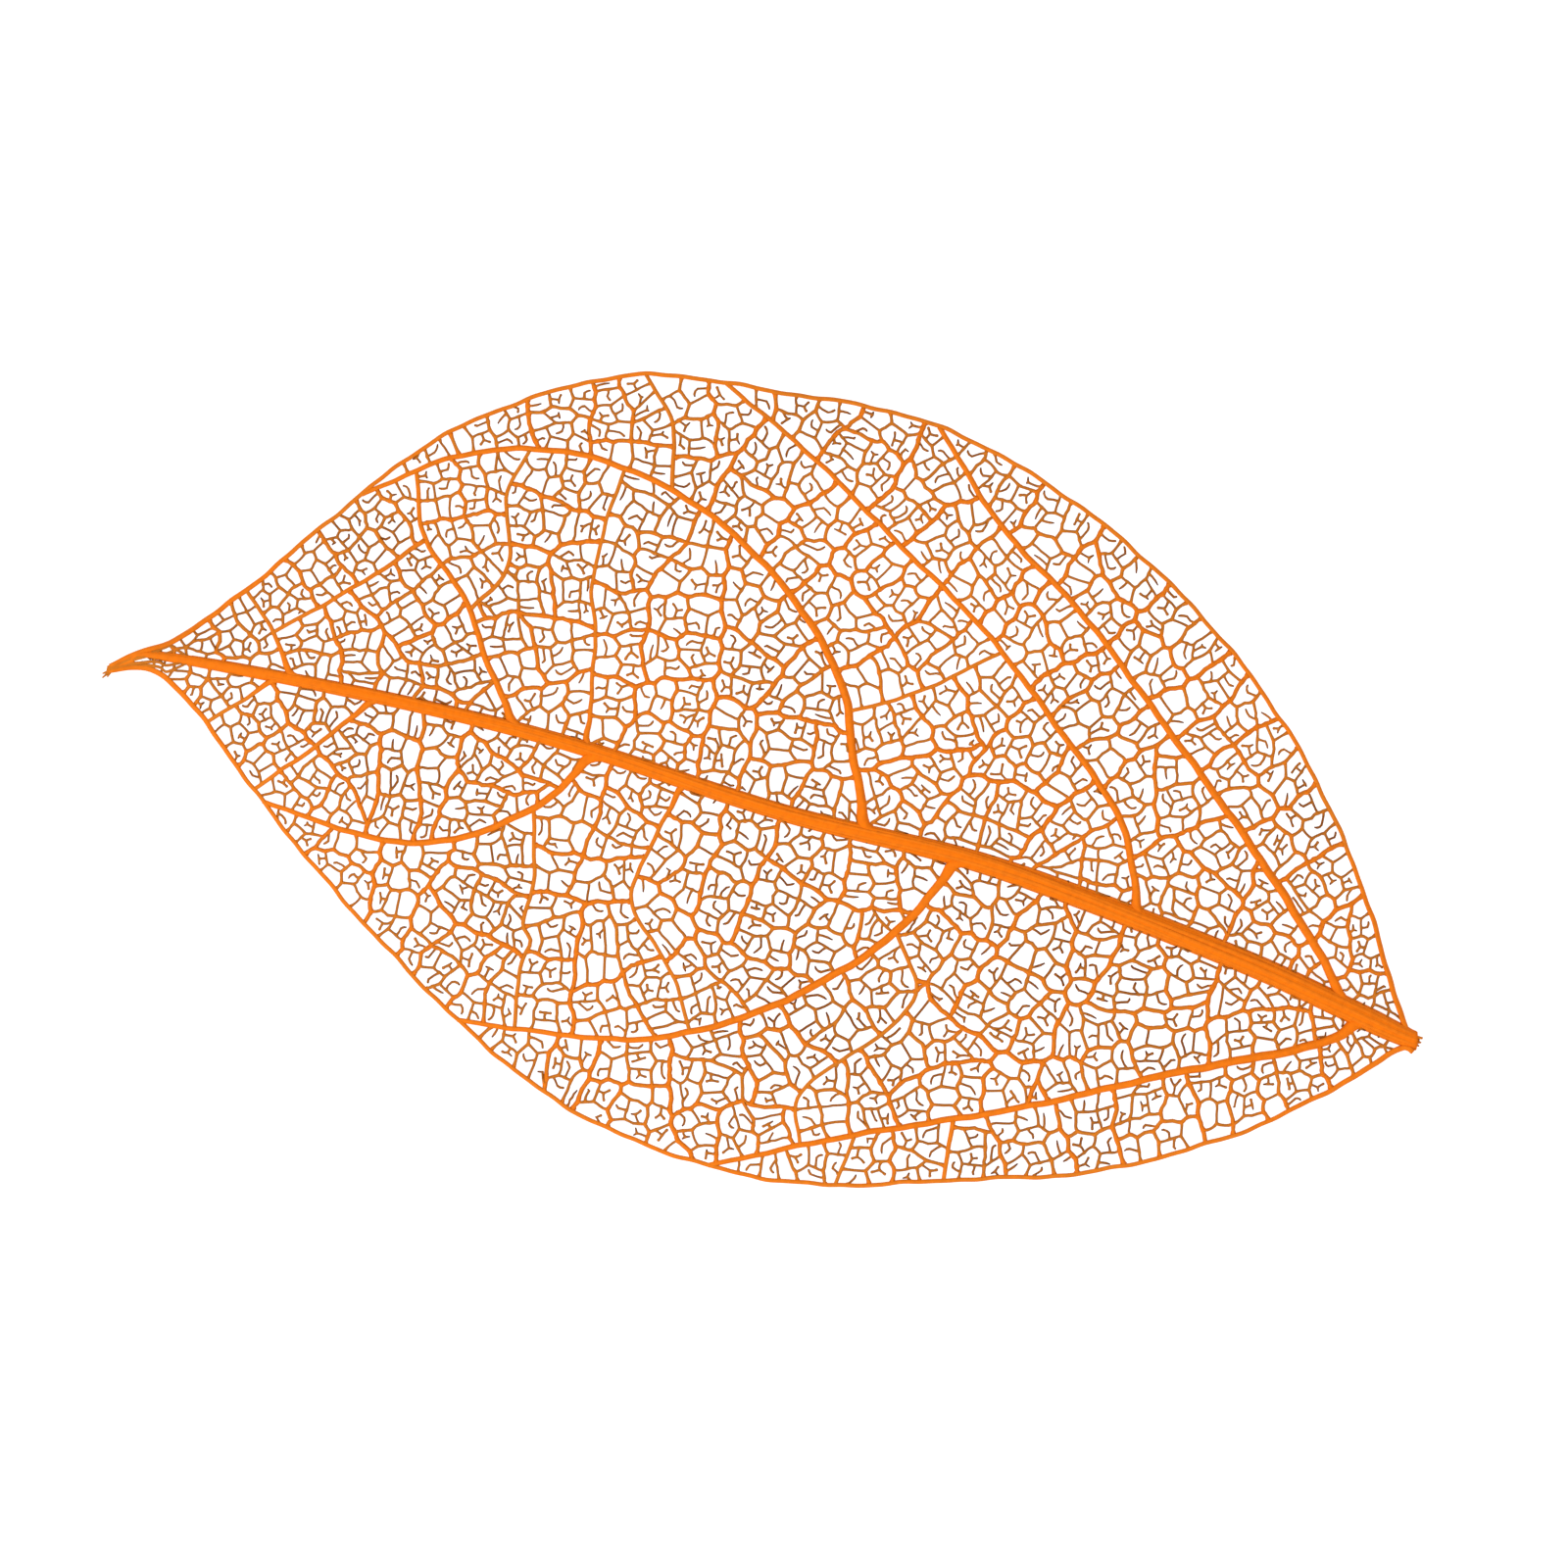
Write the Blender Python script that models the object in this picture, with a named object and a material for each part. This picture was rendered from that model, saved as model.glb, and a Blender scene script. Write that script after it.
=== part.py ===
"""Skeleton leaf: the vein net that stays when a leaf's soft tissue is gone.

The leaf is one grown piece, so it is one closed body. The net is planned flat as a graph of
vein centre lines, lifted on to a shallow dome, and given a four-sided section all along.
Lengths are in millimetres until the mesh is written, which is in metres.
"""
import math
import random

import bmesh
import bpy
import numpy as np
from mathutils import Vector
from mathutils.geometry import delaunay_2d_cdt

MM = 0.001
SEED = 11

# Driving dimensions, in millimetres. x runs across the leaf, y from the cut stalk to the tip.
LENGTH = 90.0
ARCH = 3.0
DROOP = 0.93
EDGE_WAVE = 0.35
TIP_CURL = 1.1
MESH_SIZE = 3.05
NET_WIDTH = 0.24
TERTIARY_WIDTH = 0.34
MARGIN_WIDTH = 0.42
THICKNESS_RATIO = 0.85
STALK_WIDTH = 1.6
STALK_END_WIDTH = 1.5

# Outline: the right side upwards from the stalk, then the left side, both up to the drip tip.
RIGHT_EDGE = [(0.9, 0.6), (4.6, 3.0), (10.6, 7.0), (17.0, 12.6), (22.6, 19.6), (27.2, 28.0),
              (30.2, 37.0), (31.0, 44.0), (30.2, 52.0), (29.0, 60.5), (25.8, 67.0), (21.0, 73.0),
              (15.0, 77.6), (9.4, 81.4), (5.6, 84.2), (3.0, 86.6)]
LEFT_EDGE = [(-0.4, 0.6), (-3.4, 3.4), (-8.6, 9.2), (-13.6, 17.6), (-16.6, 26.0), (-19.5, 35.0),
             (-20.3, 43.0), (-19.3, 52.0), (-16.2, 60.0), (-11.0, 69.0), (-6.0, 76.4),
             (-2.4, 81.0), (0.4, 84.6), (1.6, 86.8)]

# Main veins: centre line, width where it starts, width where it ends.
MIDRIB = ([(0.3, 0.0), (1.2, 5.0), (2.3, 12.0), (3.4, 23.0), (3.9, 32.0), (3.5, 44.0),
           (4.0, 57.0), (3.9, 66.0), (3.2, 77.0), (2.2, 87.0)], 1.55, 0.6)
SIDE_VEINS = [
    ([(1.0, 3.4), (-1.6, 6.0), (-6.1, 14.8), (-10.9, 23.6), (-16.0, 34.4), (-20.2, 42.6)],
     0.62, 0.36),
    ([(3.9, 32.0), (-2.0, 34.9), (-6.2, 38.4), (-10.3, 43.2), (-13.4, 49.0), (-14.8, 55.5),
      (-15.6, 61.2)], 0.66, 0.34),
    ([(4.0, 57.0), (-0.4, 59.8), (-4.0, 64.4), (-5.4, 69.0), (-5.2, 74.0), (-4.6, 78.2)],
     0.58, 0.34),
    ([(3.6, 71.6), (0.4, 74.6), (-5.0, 76.4)], 0.38, 0.3),
    ([(1.1, 4.6), (5.2, 8.6), (10.6, 14.8), (16.0, 21.6), (21.4, 28.6), (25.6, 35.4),
      (30.6, 40.6)], 0.62, 0.36),
    ([(3.2, 19.6), (9.0, 22.6), (13.6, 28.0), (18.6, 34.6), (22.6, 41.6), (26.4, 48.0),
      (29.9, 53.6)], 0.5, 0.32),
    ([(3.6, 38.4), (8.0, 40.6), (13.0, 43.0), (18.0, 48.4), (21.6, 55.6), (22.6, 63.6),
      (20.6, 70.8), (16.2, 76.8)], 0.62, 0.34),
    ([(4.0, 62.4), (7.2, 65.2), (11.6, 68.4), (14.4, 71.8), (18.2, 73.4)], 0.5, 0.34),
    ([(3.0, 77.6), (5.8, 79.8), (7.6, 82.6)], 0.42, 0.3),
    ([(14.4, 71.8), (10.6, 75.0), (5.8, 79.8)], 0.36, 0.32),
]


def smooth_line(points, step=0.4):
    """Return a smooth line through the points, cut into even steps."""
    pts = np.array(points, float)
    ends = np.vstack([2 * pts[0] - pts[1], pts, 2 * pts[-1] - pts[-2]])
    fine = []
    for i in range(len(pts) - 1):
        a, b, c, d = ends[i:i + 4]
        for t in np.linspace(0, 1, 20, endpoint=False):
            bend = (2 * a - 5 * b + 4 * c - d) * t * t
            twist = (3 * b - a - 3 * c + d) * t ** 3
            fine.append(0.5 * (2 * b + (c - a) * t + bend + twist))
    fine.append(pts[-1])
    return even_steps(np.array(fine), step)


def even_steps(line, step):
    """Cut a line again so that its points are one step apart."""
    run = travelled(line)
    count = max(2, int(round(run[-1] / step)) + 1)
    want = np.linspace(0, run[-1], count)
    return np.column_stack([np.interp(want, run, line[:, 0]), np.interp(want, run, line[:, 1])])


def travelled(line):
    """Return the distance along the line at each of its points."""
    return np.concatenate([[0], np.cumsum(np.linalg.norm(np.diff(line, axis=0), axis=1))])


def nearest_on_line(points, line):
    """Return, for each point, the nearest spot on the line, its distance and how far along."""
    points = np.atleast_2d(points)
    start, step = line[:-1], np.diff(line, axis=0)
    gap = points[:, None] - start[None]
    size = np.maximum((step ** 2).sum(1), 1e-12)
    t = np.clip((gap * step[None]).sum(2) / size, 0, 1)
    spot = start[None] + t[..., None] * step[None]
    away = np.linalg.norm(points[:, None] - spot, axis=2)
    best = away.argmin(1)
    rows = np.arange(len(points))
    run = travelled(line)
    along = run[best] + t[rows, best] * np.sqrt(size[best])
    return spot[rows, best], away[rows, best], along / run[-1]


def inside(points, loop):
    """Tell which points are inside the closed loop."""
    x, y = points[:, 0, None], points[:, 1, None]
    x0, y0 = loop[None, :, 0], loop[None, :, 1]
    x1, y1 = np.roll(x0, -1, axis=1), np.roll(y0, -1, axis=1)
    straddles = (y0 > y) != (y1 > y)
    rise = np.where(y1 == y0, 1e-12, y1 - y0)
    left_of = x < (x1 - x0) * (y - y0) / rise + x0
    return (straddles & left_of).sum(1) % 2 == 1


def crosses(starts, ends, line):
    """Tell which of the segments cross the line an odd number of times."""
    a, b = starts[:, None], ends[:, None]
    c, d = line[None, :-1], line[None, 1:]

    def side(p, q, r):
        return (q[..., 0] - p[..., 0]) * (r[..., 1] - p[..., 1]) \
            - (q[..., 1] - p[..., 1]) * (r[..., 0] - p[..., 0])

    hits = (side(a, b, c) * side(a, b, d) < 0) & (side(c, d, a) * side(c, d, b) < 0)
    return hits.sum(1) % 2 == 1


def mesh_size(point):
    """Return the wanted width of a mesh of the net: smaller towards the tip."""
    return MESH_SIZE * float(np.interp(point[1], [0, 8, 70, 84, LENGTH], [0.8, 1, 1, 0.72, 0.6]))


class Guides:
    """The margin and the main veins, which the net's meshes keep to."""

    def __init__(self):
        right = smooth_line(RIGHT_EDGE)
        left = smooth_line(LEFT_EDGE)
        self.loop = np.vstack([right, left[::-1]])
        self.lines = [np.vstack([self.loop, self.loop[:1]])]
        self.widths = [(MARGIN_WIDTH, MARGIN_WIDTH)]
        for points, start, end in [MIDRIB] + SIDE_VEINS:
            self.lines.append(smooth_line(points))
            self.widths.append((start, end))

    def width(self, index, point):
        """Return the width of one guide at the spot nearest to the point."""
        along = nearest_on_line(point, self.lines[index])[2][0]
        start, end = self.widths[index]
        return start + (end - start) * along

    def gap(self, points):
        """Return the distance from each point to the nearest guide."""
        return np.min([nearest_on_line(points, line)[1] for line in self.lines], axis=0)

    def junction(self, first, second, point):
        """Return the spot where the second guide ends on the first, near the point."""
        line = self.lines[max(first, second)]
        ends = line[[0, -1]]
        end = ends[np.linalg.norm(ends - point, axis=1).argmin()]
        return nearest_on_line(end, self.lines[min(first, second)])[0][0]


def rows_beside(line, rng):
    """Return seeds in two rows along a line, one on each side, out of step with each other."""
    run = travelled(line)
    seeds = []
    for side in (-1, 1):
        walk = rng.uniform(0.1, 0.6) * MESH_SIZE
        while walk < run[-1]:
            i = min(int(np.searchsorted(run, walk)), len(line) - 1)
            heading = line[i] - line[i - 1]
            heading = heading / np.linalg.norm(heading)
            size = mesh_size(line[i])
            seeds.append(line[i] + side * 0.47 * size * np.array([-heading[1], heading[0]]))
            walk += size * rng.uniform(0.85, 1.15)
    return seeds


def plant_seeds(guides, rng):
    """Return one seed point for each mesh of the net, and a row just outside the margin."""
    seeds = []

    def plant(points, seed_gap, guide_gap):
        clear = guides.gap(np.array(points))
        for point, room in zip(points, clear):
            size = mesh_size(point)
            if room < guide_gap * size:
                continue
            if seeds and np.min(np.linalg.norm(np.array(seeds) - point, axis=1)) < seed_gap * size:
                continue
            seeds.append(point)

    for line in guides.lines:
        plant(rows_beside(line, rng), 0.66, 0.38)
    low, high = guides.loop.min(0), guides.loop.max(0)
    tries = [np.array([rng.uniform(low[0], high[0]), rng.uniform(low[1], high[1])])
             for _ in range(6000)]
    tries = np.array(tries)
    plant(list(tries[inside(tries, guides.loop)]), 0.84, 0.44)
    return np.array(seeds)


def circle_centres(points, triangles):
    """Return the centre of the circle through each triangle's corners."""
    a, b, c = points[triangles[:, 0]], points[triangles[:, 1]], points[triangles[:, 2]]
    ab, ac = b - a, c - a
    area = 2 * (ab[:, 0] * ac[:, 1] - ab[:, 1] * ac[:, 0])
    ab2, ac2 = (ab ** 2).sum(1), (ac ** 2).sum(1)
    x = (ac[:, 1] * ab2 - ab[:, 1] * ac2) / area
    y = (ab[:, 0] * ac2 - ac[:, 0] * ab2) / area
    return a + np.column_stack([x, y])


def cells_to_graph(seeds, guides):
    """Return the walls between the seeds' cells as corners, walls and each wall's guide."""
    result = delaunay_2d_cdt([Vector(p) for p in seeds], [], [], 0, 1e-9)
    points = np.array([tuple(p) for p in result[0]])
    triangles = np.array([face for face in result[2] if len(face) == 3])
    centres = circle_centres(points, triangles)
    within = inside(points, guides.loop)
    shared = {}
    for t, (a, b, c) in enumerate(triangles):
        for pair in ((a, b), (b, c), (c, a)):
            shared.setdefault(tuple(sorted(pair)), []).append(t)
    pairs = [p for p, owners in sorted(shared.items())
             if len(owners) == 2 and (within[p[0]] or within[p[1]])]
    starts, ends = points[[p[0] for p in pairs]], points[[p[1] for p in pairs]]
    owner = np.full(len(pairs), -1)
    for index in range(len(guides.lines) - 1, 0, -1):
        owner[crosses(starts, ends, guides.lines[index])] = index
    outer = within[[p[0] for p in pairs]] != within[[p[1] for p in pairs]]
    owner[outer] = 0
    walls = {}
    for pair, own in zip(pairs, owner):
        walls[tuple(sorted(shared[pair]))] = (int(own), pair)
    return centres, walls, points


def coarse_groups(points, rng):
    """Give each seed the number of its group of neighbouring meshes."""
    picks = []
    for point in points[rng.sample(range(len(points)), len(points))]:
        if all(np.linalg.norm(point - p) > 2.7 * MESH_SIZE for p in picks):
            picks.append(point)
    picks = np.array(picks)
    return np.linalg.norm(points[:, None] - picks[None], axis=2).argmin(1)


class Net:
    """The vein graph: node positions, veins between them and each vein's guide and width."""

    def __init__(self, guides, rng):
        self.guides = guides
        centres, walls, points = cells_to_graph(plant_seeds(guides, rng), guides)
        group = coarse_groups(points, rng)
        self.at = {i: centres[i] for pair in walls for i in pair}
        self.veins = {}
        for ends, (own, pair) in walls.items():
            wide = TERTIARY_WIDTH if group[pair[0]] != group[pair[1]] else NET_WIDTH
            self.veins[ends] = (own, wide)
        self.snap()

    def owners(self):
        """Return, for each node, the guides that its veins lie on."""
        found = {i: set() for i in self.at}
        for ends, (own, _) in self.veins.items():
            for i in ends:
                if own >= 0:
                    found[i].add(own)
        return found

    def snap(self):
        """Move each node that belongs to a guide on to that guide."""
        for i, owners in self.owners().items():
            picked = sorted(owners)[:2]
            if len(picked) == 2:
                self.at[i] = self.guides.junction(picked[0], picked[1], self.at[i])
            elif picked:
                line = self.guides.lines[picked[0]]
                self.at[i] = nearest_on_line(self.at[i], line)[0][0]

    def relax(self, rounds):
        """Let every vein pull on its ends, the wide ones harder, as a stretched net would."""
        for _ in range(rounds):
            pull = {i: np.zeros(2) for i in self.at}
            load = {i: 0.0 for i in self.at}
            for (a, b), (_, wide) in self.veins.items():
                force = (wide / NET_WIDTH) ** 1.5
                for i, j in ((a, b), (b, a)):
                    pull[i] += force * self.at[j]
                    load[i] += force
            for i in self.at:
                self.at[i] = 0.5 * self.at[i] + 0.5 * pull[i] / load[i]
            self.snap()

    def merge_short(self, limit):
        """Merge the two ends of each vein that is too short to be one."""
        while True:
            short = None
            for a, b in sorted(self.veins):
                size = np.linalg.norm(self.at[a] - self.at[b])
                if size < limit * mesh_size(self.at[a]):
                    short = (a, b)
                    break
            if short is None:
                return
            self.merge(*short)

    def merge(self, keep, drop):
        """Join the node to drop with the node to keep."""
        owners = self.owners()
        if len(owners[drop]) > len(owners[keep]):
            keep, drop = drop, keep
        if len(owners[drop]) == len(owners[keep]):
            self.at[keep] = (self.at[keep] + self.at[drop]) / 2
        moved = {}
        for (a, b), data in self.veins.items():
            a, b = (keep if a == drop else a), (keep if b == drop else b)
            if a == b:
                continue
            ends = (min(a, b), max(a, b))
            if ends not in moved or data[0] > moved[ends][0]:
                moved[ends] = data
        self.veins = moved
        del self.at[drop]
        self.snap()

    def add_end(self, near, spots):
        """Carry the net on past its outermost node through the given spots and widths."""
        last = min(self.at, key=lambda i: np.linalg.norm(self.at[i] - near))
        for spot, wide in spots:
            new = max(self.at) + 1
            self.at[new] = np.array(spot, float)
            self.veins[(last, new)] = (-1, wide)
            last = new

    def vein_width(self, ends):
        """Return the width of one vein at its middle."""
        own, wide = self.veins[ends]
        if own < 0:
            return wide
        return self.guides.width(own, (self.at[ends[0]] + self.at[ends[1]]) / 2)


def step_down(net, widths):
    """Add a node where a thin vein meets a thick one, so that it stays thin up to the side."""
    thickest = {i: 0.0 for i in net.at}
    for ends, wide in widths.items():
        for i in ends:
            thickest[i] = max(thickest[i], wide)
    stepped = {}
    for (first, last), wide in sorted(widths.items()):
        size = np.linalg.norm(net.at[last] - net.at[first])
        heading = (net.at[last] - net.at[first]) / size
        chain = [first, last]
        for end, away in ((first, heading), (last, -heading)):
            off = thickest[end] * 0.5 + 0.55 * wide
            if thickest[end] < 1.7 * wide or off > 0.4 * size:
                continue
            new = max(net.at) + 1
            net.at[new] = net.at[end] + away * off
            chain.insert(1 if end == first else len(chain) - 1, new)
        for pair in zip(chain, chain[1:]):
            stepped[pair] = wide
    return stepped


def half_width(y):
    """Return the outline's half width at a height up the leaf, and the middle's position."""
    right = np.interp(y, [p[1] for p in RIGHT_EDGE], [p[0] for p in RIGHT_EDGE])
    left = np.interp(y, [p[1] for p in LEFT_EDGE], [p[0] for p in LEFT_EDGE])
    middle = np.interp(y, [p[1] for p in MIDRIB[0]], [p[0] for p in MIDRIB[0]])
    return middle, max(middle - left, 1.0), max(right - middle, 1.0)


def lift(x, y):
    """Return the height of the leaf's middle surface above its resting level."""
    along = min(max(y / LENGTH, 0.0), 1.0)
    arch = ARCH * math.sin(math.pi * along) ** 0.8
    middle, left, right = half_width(y)
    out = (x - middle) / (right if x > middle else left)
    out = min(abs(out), 1.15) * (1 if out > 0 else -1)
    wave = EDGE_WAVE * math.sin(0.21 * y + 1.3 * out) * out * out * math.sin(math.pi * along)
    curl = TIP_CURL * max(0.0, (y - 80.0) / 10.0) ** 2
    return arch * (1 - DROOP * out * out) + wave + curl


def corner(first, second, wide_first, wide_second, limit):
    """Return where the facing sides of two veins meet, seen from their shared node."""
    n1 = np.array([-first[1], first[0]])
    n2 = np.array([second[1], -second[0]])
    turn = n1[0] * n2[1] - n1[1] * n2[0]
    if abs(turn) > 0.3:
        a, b = wide_first / 2, wide_second / 2
        spot = np.array([a * n2[1] - b * n1[1], b * n1[0] - a * n2[0]]) / turn
    else:
        spot = (n1 * wide_first + n2 * wide_second) / 4
        if np.linalg.norm(n1 + n2) > 1e-6:
            spot = (n1 + n2) / np.linalg.norm(n1 + n2) * (wide_first + wide_second) / 4
    size = np.linalg.norm(spot)
    return spot if size < limit else spot * limit / size


class Cage:
    """The net's surface: each vein gets four long faces between shared corner points."""

    def __init__(self, net, widths):
        self.net = net
        self.widths = widths
        self.points = []
        self.faces = []
        self.side = {}
        self.ridge = {}
        self.fans = {i: [] for i in net.at}
        for a, b in sorted(widths):
            self.fans[a].append(b)
            self.fans[b].append(a)
        for i in sorted(self.fans):
            if self.fans[i]:
                self.place_node(i)
        for a, b in sorted(widths):
            self.skin_vein(a, b)

    def wide(self, a, b):
        return self.widths[(a, b)] if (a, b) in self.widths else self.widths[(b, a)]

    def add(self, x, y, raised):
        self.points.append((x, y, lift(x, y) + raised))
        return len(self.points) - 1

    def place_node(self, i):
        """Place the corner points between neighbouring veins and the ridge above and below."""
        at = self.net.at[i]
        heading = {j: self.net.at[j] - at for j in self.fans[i]}
        size = {j: np.linalg.norm(h) for j, h in heading.items()}
        heading = {j: h / size[j] for j, h in heading.items()}
        fan = sorted(self.fans[i], key=lambda j: math.atan2(heading[j][1], heading[j][0]))
        self.fans[i] = fan
        thick = max(self.wide(i, j) for j in fan) * THICKNESS_RATIO
        self.ridge[i] = (self.add(at[0], at[1], thick / 2), self.add(at[0], at[1], -thick / 2))
        for j, k in zip(fan, fan[1:] + fan[:1]):
            if len(fan) == 1:
                across = np.array([-heading[j][1], heading[j][0]]) * self.wide(i, j) / 2
                self.side[(i, j)] = (self.add(*(at - across), 0), self.add(*(at + across), 0))
                continue
            limit = 0.46 * min(size[j], size[k])
            spot = at + corner(heading[j], heading[k], self.wide(i, j), self.wide(i, k), limit)
            shared = self.add(spot[0], spot[1], 0)
            self.side.setdefault((i, j), [None, None])[1] = shared
            self.side.setdefault((i, k), [None, None])[0] = shared
        if len(fan) == 1:
            right, left = self.side[(i, fan[0])]
            top, bottom = self.ridge[i]
            self.faces.append((right, top, left))
            self.faces.append((left, bottom, right))

    def skin_vein(self, a, b):
        """Close the four long sides of one vein."""
        right_a, left_a = self.side[(a, b)]
        left_b, right_b = self.side[(b, a)]
        top_a, bottom_a = self.ridge[a]
        top_b, bottom_b = self.ridge[b]
        self.faces.append((left_a, top_a, top_b, left_b))
        self.faces.append((top_a, right_a, right_b, top_b))
        self.faces.append((right_a, bottom_a, bottom_b, right_b))
        self.faces.append((bottom_a, left_a, left_b, bottom_b))


def make_net(rng):
    """Plan the vein net and return it with the width of every stretch."""
    guides = Guides()
    net = Net(guides, rng)
    net.relax(6)
    net.merge_short(0.2)
    net.relax(3)
    net.merge_short(0.16)
    net.add_end(np.array([0.4, 0.2]), [((0.4, -0.4), STALK_WIDTH), ((0.4, -0.9), STALK_END_WIDTH)])
    net.add_end(np.array([2.2, 87.2]), [((1.5, 88.3), 0.55), ((0.0, LENGTH - 0.1), 0.34)])
    widths = {ends: net.vein_width(ends) for ends in net.veins}
    return net, step_down(net, widths)


def new_object(name, points, faces):
    """Build one mesh object, in metres, with its faces turned outwards."""
    mesh = bpy.data.meshes.new(name)
    mesh.from_pydata([tuple(c * MM for c in p) for p in points], [], faces)
    work = bmesh.new()
    work.from_mesh(mesh)
    bmesh.ops.triangulate(work, faces=work.faces[:])
    bmesh.ops.recalc_face_normals(work, faces=work.faces[:])
    work.to_mesh(mesh)
    work.free()
    item = bpy.data.objects.new(name, mesh)
    bpy.context.scene.collection.objects.link(item)
    return item


def centre_on_base(points):
    """Shift the points so that the box's middle is at the origin and its base at zero."""
    cloud = np.array(points)
    low, high = cloud.min(0), cloud.max(0)
    shift = np.array([(low[0] + high[0]) / 2, (low[1] + high[1]) / 2, low[2]])
    return cloud - shift


def fibre_material():
    """Return the dyed plant fibre that the whole net is made of."""
    material = bpy.data.materials.new("leaf_fibre")
    material.use_nodes = True
    shader = material.node_tree.nodes["Principled BSDF"]
    shader.inputs["Base Color"].default_value = (0.89, 0.235, 0.02, 1.0)
    shader.inputs["Roughness"].default_value = 0.7
    return material


def main():
    for item in list(bpy.data.objects):
        bpy.data.objects.remove(item, do_unlink=True)
    rng = random.Random(SEED)
    net, widths = make_net(rng)
    cage = Cage(net, widths)
    leaf = new_object("leaf_skeleton", centre_on_base(cage.points), cage.faces)
    leaf.data.materials.append(fibre_material())
    print("veins", len(widths), "triangles", len(leaf.data.polygons))
    print("size in mm", [round(v * 1000, 2) for v in leaf.dimensions])


main()
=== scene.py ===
# %% [markdown]
# # A skeleton leaf
# When a leaf lies in water through a winter, its green flesh rots away and the veins stay behind.
# Makers speed this up with washing soda, brush the flesh off, and dye the bare net that is left.
# What remains is one thick midrib, a few curved side veins, a bound margin, and between them
# loops within loops of ever thinner veins.
# It could be painted on a flat sheet as a cut-out picture. Here every vein is real geometry,
# so the net has thickness, casts its own soft shadow and can be seen from any side.

# %% Load the frame
import math
import random

import bmesh
import bpy
import numpy as np
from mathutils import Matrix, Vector


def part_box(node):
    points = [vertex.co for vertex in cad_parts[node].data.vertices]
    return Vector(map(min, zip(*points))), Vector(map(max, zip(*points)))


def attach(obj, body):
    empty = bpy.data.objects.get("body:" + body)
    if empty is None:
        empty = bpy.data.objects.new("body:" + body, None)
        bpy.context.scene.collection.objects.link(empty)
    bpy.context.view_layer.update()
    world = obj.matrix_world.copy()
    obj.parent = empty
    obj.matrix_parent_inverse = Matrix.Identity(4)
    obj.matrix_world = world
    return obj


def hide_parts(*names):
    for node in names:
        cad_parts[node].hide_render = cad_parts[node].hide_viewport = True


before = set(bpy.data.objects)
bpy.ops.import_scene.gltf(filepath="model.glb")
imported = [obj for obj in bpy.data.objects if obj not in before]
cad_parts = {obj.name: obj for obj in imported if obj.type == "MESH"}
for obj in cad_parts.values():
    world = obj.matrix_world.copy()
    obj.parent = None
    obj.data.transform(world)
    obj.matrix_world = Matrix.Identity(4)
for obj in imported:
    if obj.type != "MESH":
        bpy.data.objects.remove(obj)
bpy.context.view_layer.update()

NODE = "leaf_skeleton"
low_corner, high_corner = (Vector(corner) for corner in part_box(NODE))
box_centre = (low_corner + high_corner) / 2
print("frame box in mm", [round(1000 * (b - a), 1) for a, b in zip(low_corner, high_corner)])

# %% [markdown]
# ## Outline and main veins
# The leaf is planned flat, in millimetres, with x across the blade and y from the stalk to the
# tip. Only a few listed points carry the character: a broad oval that is a little fuller on
# the right, a long drawn-out drip tip, and side veins that leave the midrib at a slant, arch
# forward and run into the margin or into the next loop. Each vein has a width at its start and
# one at its end, because veins taper as they carry less. A vein runs from the midrib to the
# margin if it names no other vein to land on, or to leave.

# %% The listed lines
LENGTH = 90.0
RIGHT_EDGE = [(0.9, 0.6), (4.6, 3.0), (10.6, 7.0), (17.0, 12.6), (22.6, 19.6), (27.2, 28.0),
              (30.2, 37.0), (31.0, 44.0), (30.2, 52.0), (29.0, 60.5), (25.8, 67.0), (21.0, 73.0),
              (15.0, 77.6), (9.4, 81.4), (5.6, 84.2), (3.0, 86.6)]
LEFT_EDGE = [(-0.4, 0.6), (-3.4, 3.4), (-8.6, 9.2), (-13.6, 17.6), (-16.6, 26.0), (-19.5, 35.0),
             (-20.3, 43.0), (-19.3, 52.0), (-16.2, 60.0), (-11.0, 69.0), (-6.0, 76.4),
             (-2.4, 81.0), (0.3, 84.6), (1.2, 86.8)]
MIDRIB = [(0.4, -0.2), (0.55, 1.2), (1.2, 5.0), (2.3, 12.0), (3.4, 23.0), (3.9, 32.0), (3.5, 44.0),
          (4.0, 57.0), (3.9, 66.0), (3.2, 77.0), (2.2, 87.0)]
MIDRIB_WIDTHS = [(0, 1.35), (2.5, 1.6), (5, 1.62), (12, 1.6), (20, 1.54), (30, 1.4), (38, 1.25),
                 (45, 1.16), (60, 1.04), (72, 0.95), (82, 0.8), (87, 0.6)]
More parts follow.
